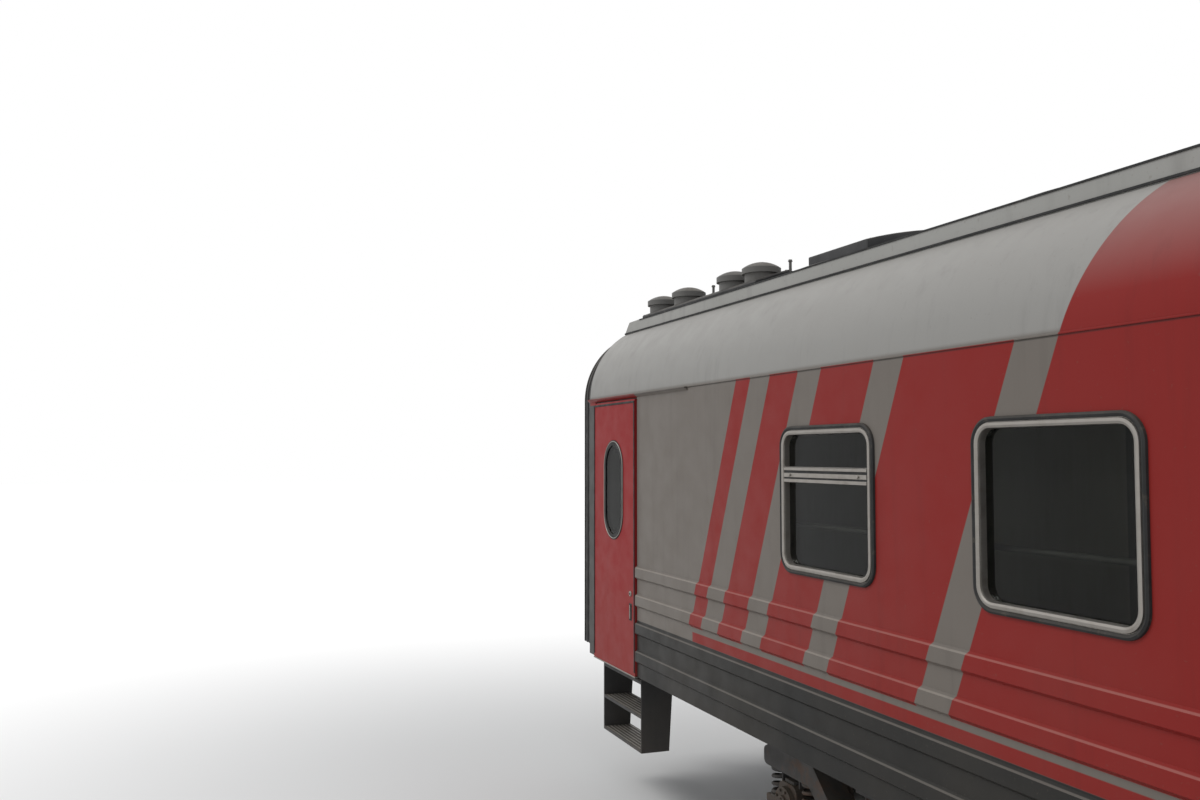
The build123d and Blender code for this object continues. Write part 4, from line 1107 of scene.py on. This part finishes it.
def fit_traction_rod(centre, way, side, plates):
    """Rod between the bolster and a bracket on the frame, with its ends."""
    y = side * ROD_Y
    knee = centre + way * 0.98
    plates.box((knee - 0.035, side * 0.865, FRAME_TOP - 0.004),
               (knee + 0.035, side * 1.07, FRAME_TOP + 0.075))
    plates.rod((centre + way * 0.20, y, ROD_Z), (knee, y, ROD_Z), 0.020)
    for x in (centre + way * 0.222, knee - way * 0.055):
        plates.rod((x - 0.018, y, ROD_Z), (x + 0.018, y, ROD_Z), 0.033)


def bogie_fittings(end):
    """Axle box fittings, traction rods, bolts, brake pipes and rings of the brake cylinders."""
    letter = LETTERS[end]
    bolts = Piece("bogie_bolts_" + letter, "cast", 0.0, "bogie_" + letter)
    plates = Piece("bogie_brackets_" + letter, "bogie_paint", 0.003, "bogie_" + letter)
    centre = end * BOGIE_X
    for side in SIDES:
        for axle in (-HALF_BASE, HALF_BASE):
            fit_axle_box(centre + axle, side, bolts, plates)
        for way in SIDES:
            fit_traction_rod(centre, way, side, plates)
        for x in spread(centre - 0.55, centre + 0.55, 0.275):
            bolts.bolt((x, side * 1.09, FRAME_TOP - 0.265), 0.013, (0, side, 0))
        pipe = ((-0.36, 0.56), (-0.36, 0.68), (0.36, 0.68), (0.36, 0.56))
        plates.bent_pipe([(centre + x, side * 0.86, z) for x, z in pipe], 0.05, 0.012)
    for x in (centre - 0.33, centre + 0.33):
        for y in (-0.6, 0.0, 0.6):
            plates.rod((x, y - 0.02, 0.5915), (x, y + 0.02, 0.5915), 0.068, segments=28)


# Inside

CEILING_LAMPS = ((-1.16, -1.04), (0.25, 0.45))
CORRIDOR_WALL = (-0.768, -0.722)


def inner_fittings():
    """Lamp strips, compartment door frames and table legs."""
    strips, frames = Piece("lamp_strips", "lining", 0.004), Piece("door_frames", "window_metal", 0.002)
    top = CANTRAIL - 0.025
    near, far = CORRIDOR_WALL
    for x in WINDOW_PLACES:
        for y0, y1 in CEILING_LAMPS:
            strips.box((x - 0.30, y0, top - 0.022), (x + 0.30, y1, top))
        for post in (x - 0.31, x + 0.31):
            frames.box((post - 0.02, near, FLOOR_TOP), (post + 0.02, far, FLOOR_TOP + 1.92))
        frames.box((x - 0.33, near, FLOOR_TOP + 1.90), (x + 0.33, far, FLOOR_TOP + 1.94))
        frames.post(x, 1.10, FLOOR_TOP, FLOOR_TOP + 0.69, 0.022)


def add_pieces():
    for add in (window_gaskets, vent_bars, door_fittings, roof_fittings, seams_and_edge_shadows, end_fittings,
                underfloor_fittings, underfloor_pipes, floor_ribs, step_treads, inner_fittings):
        add()
    for end in SIDES:
        bogie_springs(end)
        bogie_fittings(end)
    for piece in Piece.made:
        piece.finish()


# Stage, light and camera

FLOOR_SIZE = 120.0
SKY = ((0.93, 0.96, 1.0, 1.0), 0.72)
BACKDROP = ((1.0, 1.0, 1.0, 1.0), 1.0)
SUN_STRENGTH = 1.1
SUN_SPREAD = math.radians(28)
SUN_TURN = (math.radians(38), math.radians(-18), 0.0)
CAMERA_AT = (-3.14, -4.88, 2.87 + RAIL)
CAMERA_YAW = math.radians(20.3)
CAMERA_PITCH = math.radians(2.96)
CAMERA_LENS = 31.95
CAMERA_REACH = 400.0


def stage():
    bm = bmesh.new()
    bmesh.ops.create_grid(bm, x_segments=1, y_segments=1, size=FLOOR_SIZE)
    floor = link_mesh("studio_floor", bm, plain_floor())


def studio_world():
    """Even pale light, and a white background for the camera and in reflections."""
    world = bpy.data.worlds.new("studio")
    bpy.context.scene.world = world
    world.use_nodes = True
    tree = world.node_tree
    tree.nodes.clear()
    mix = tree.nodes.new("ShaderNodeMixShader")
    tree.links.new(watched_rays(tree), mix.inputs[0])
    for socket, (colour, strength) in zip(mix.inputs[1:], (SKY, BACKDROP)):
        light = tree.nodes.new("ShaderNodeBackground")
        light.inputs["Color"].default_value = colour
        light.inputs["Strength"].default_value = strength
        tree.links.new(light.outputs[0], socket)
    out = tree.nodes.new("ShaderNodeOutputWorld")
    tree.links.new(mix.outputs[0], out.inputs[0])


def lamps():
    sun = bpy.data.lights.new("soft_key", "SUN")
    sun.energy = SUN_STRENGTH
    sun.angle = SUN_SPREAD
    link_object("soft_key", sun).rotation_euler = SUN_TURN


def camera():
    """The photograph's view: beside the coach, looking towards its -X end."""
    data = bpy.data.cameras.new("photo_camera")
    data.sensor_width = 36.0
    data.lens = CAMERA_LENS
    data.clip_end = CAMERA_REACH
    eye = link_object("photo_camera", data)
    ahead = Vector((-math.cos(CAMERA_YAW) * math.cos(CAMERA_PITCH),
                    math.sin(CAMERA_YAW) * math.cos(CAMERA_PITCH), math.sin(CAMERA_PITCH)))
    eye.location = CAMERA_AT
    eye.rotation_euler = ahead.to_track_quat("-Z", "Y").to_euler()
    bpy.context.scene.camera = eye


dress_nodes()
add_pieces()
stage()
studio_world()
lamps()
camera()
bpy.context.scene.view_settings.view_transform = "Standard"

bpy.context.view_layer.update()
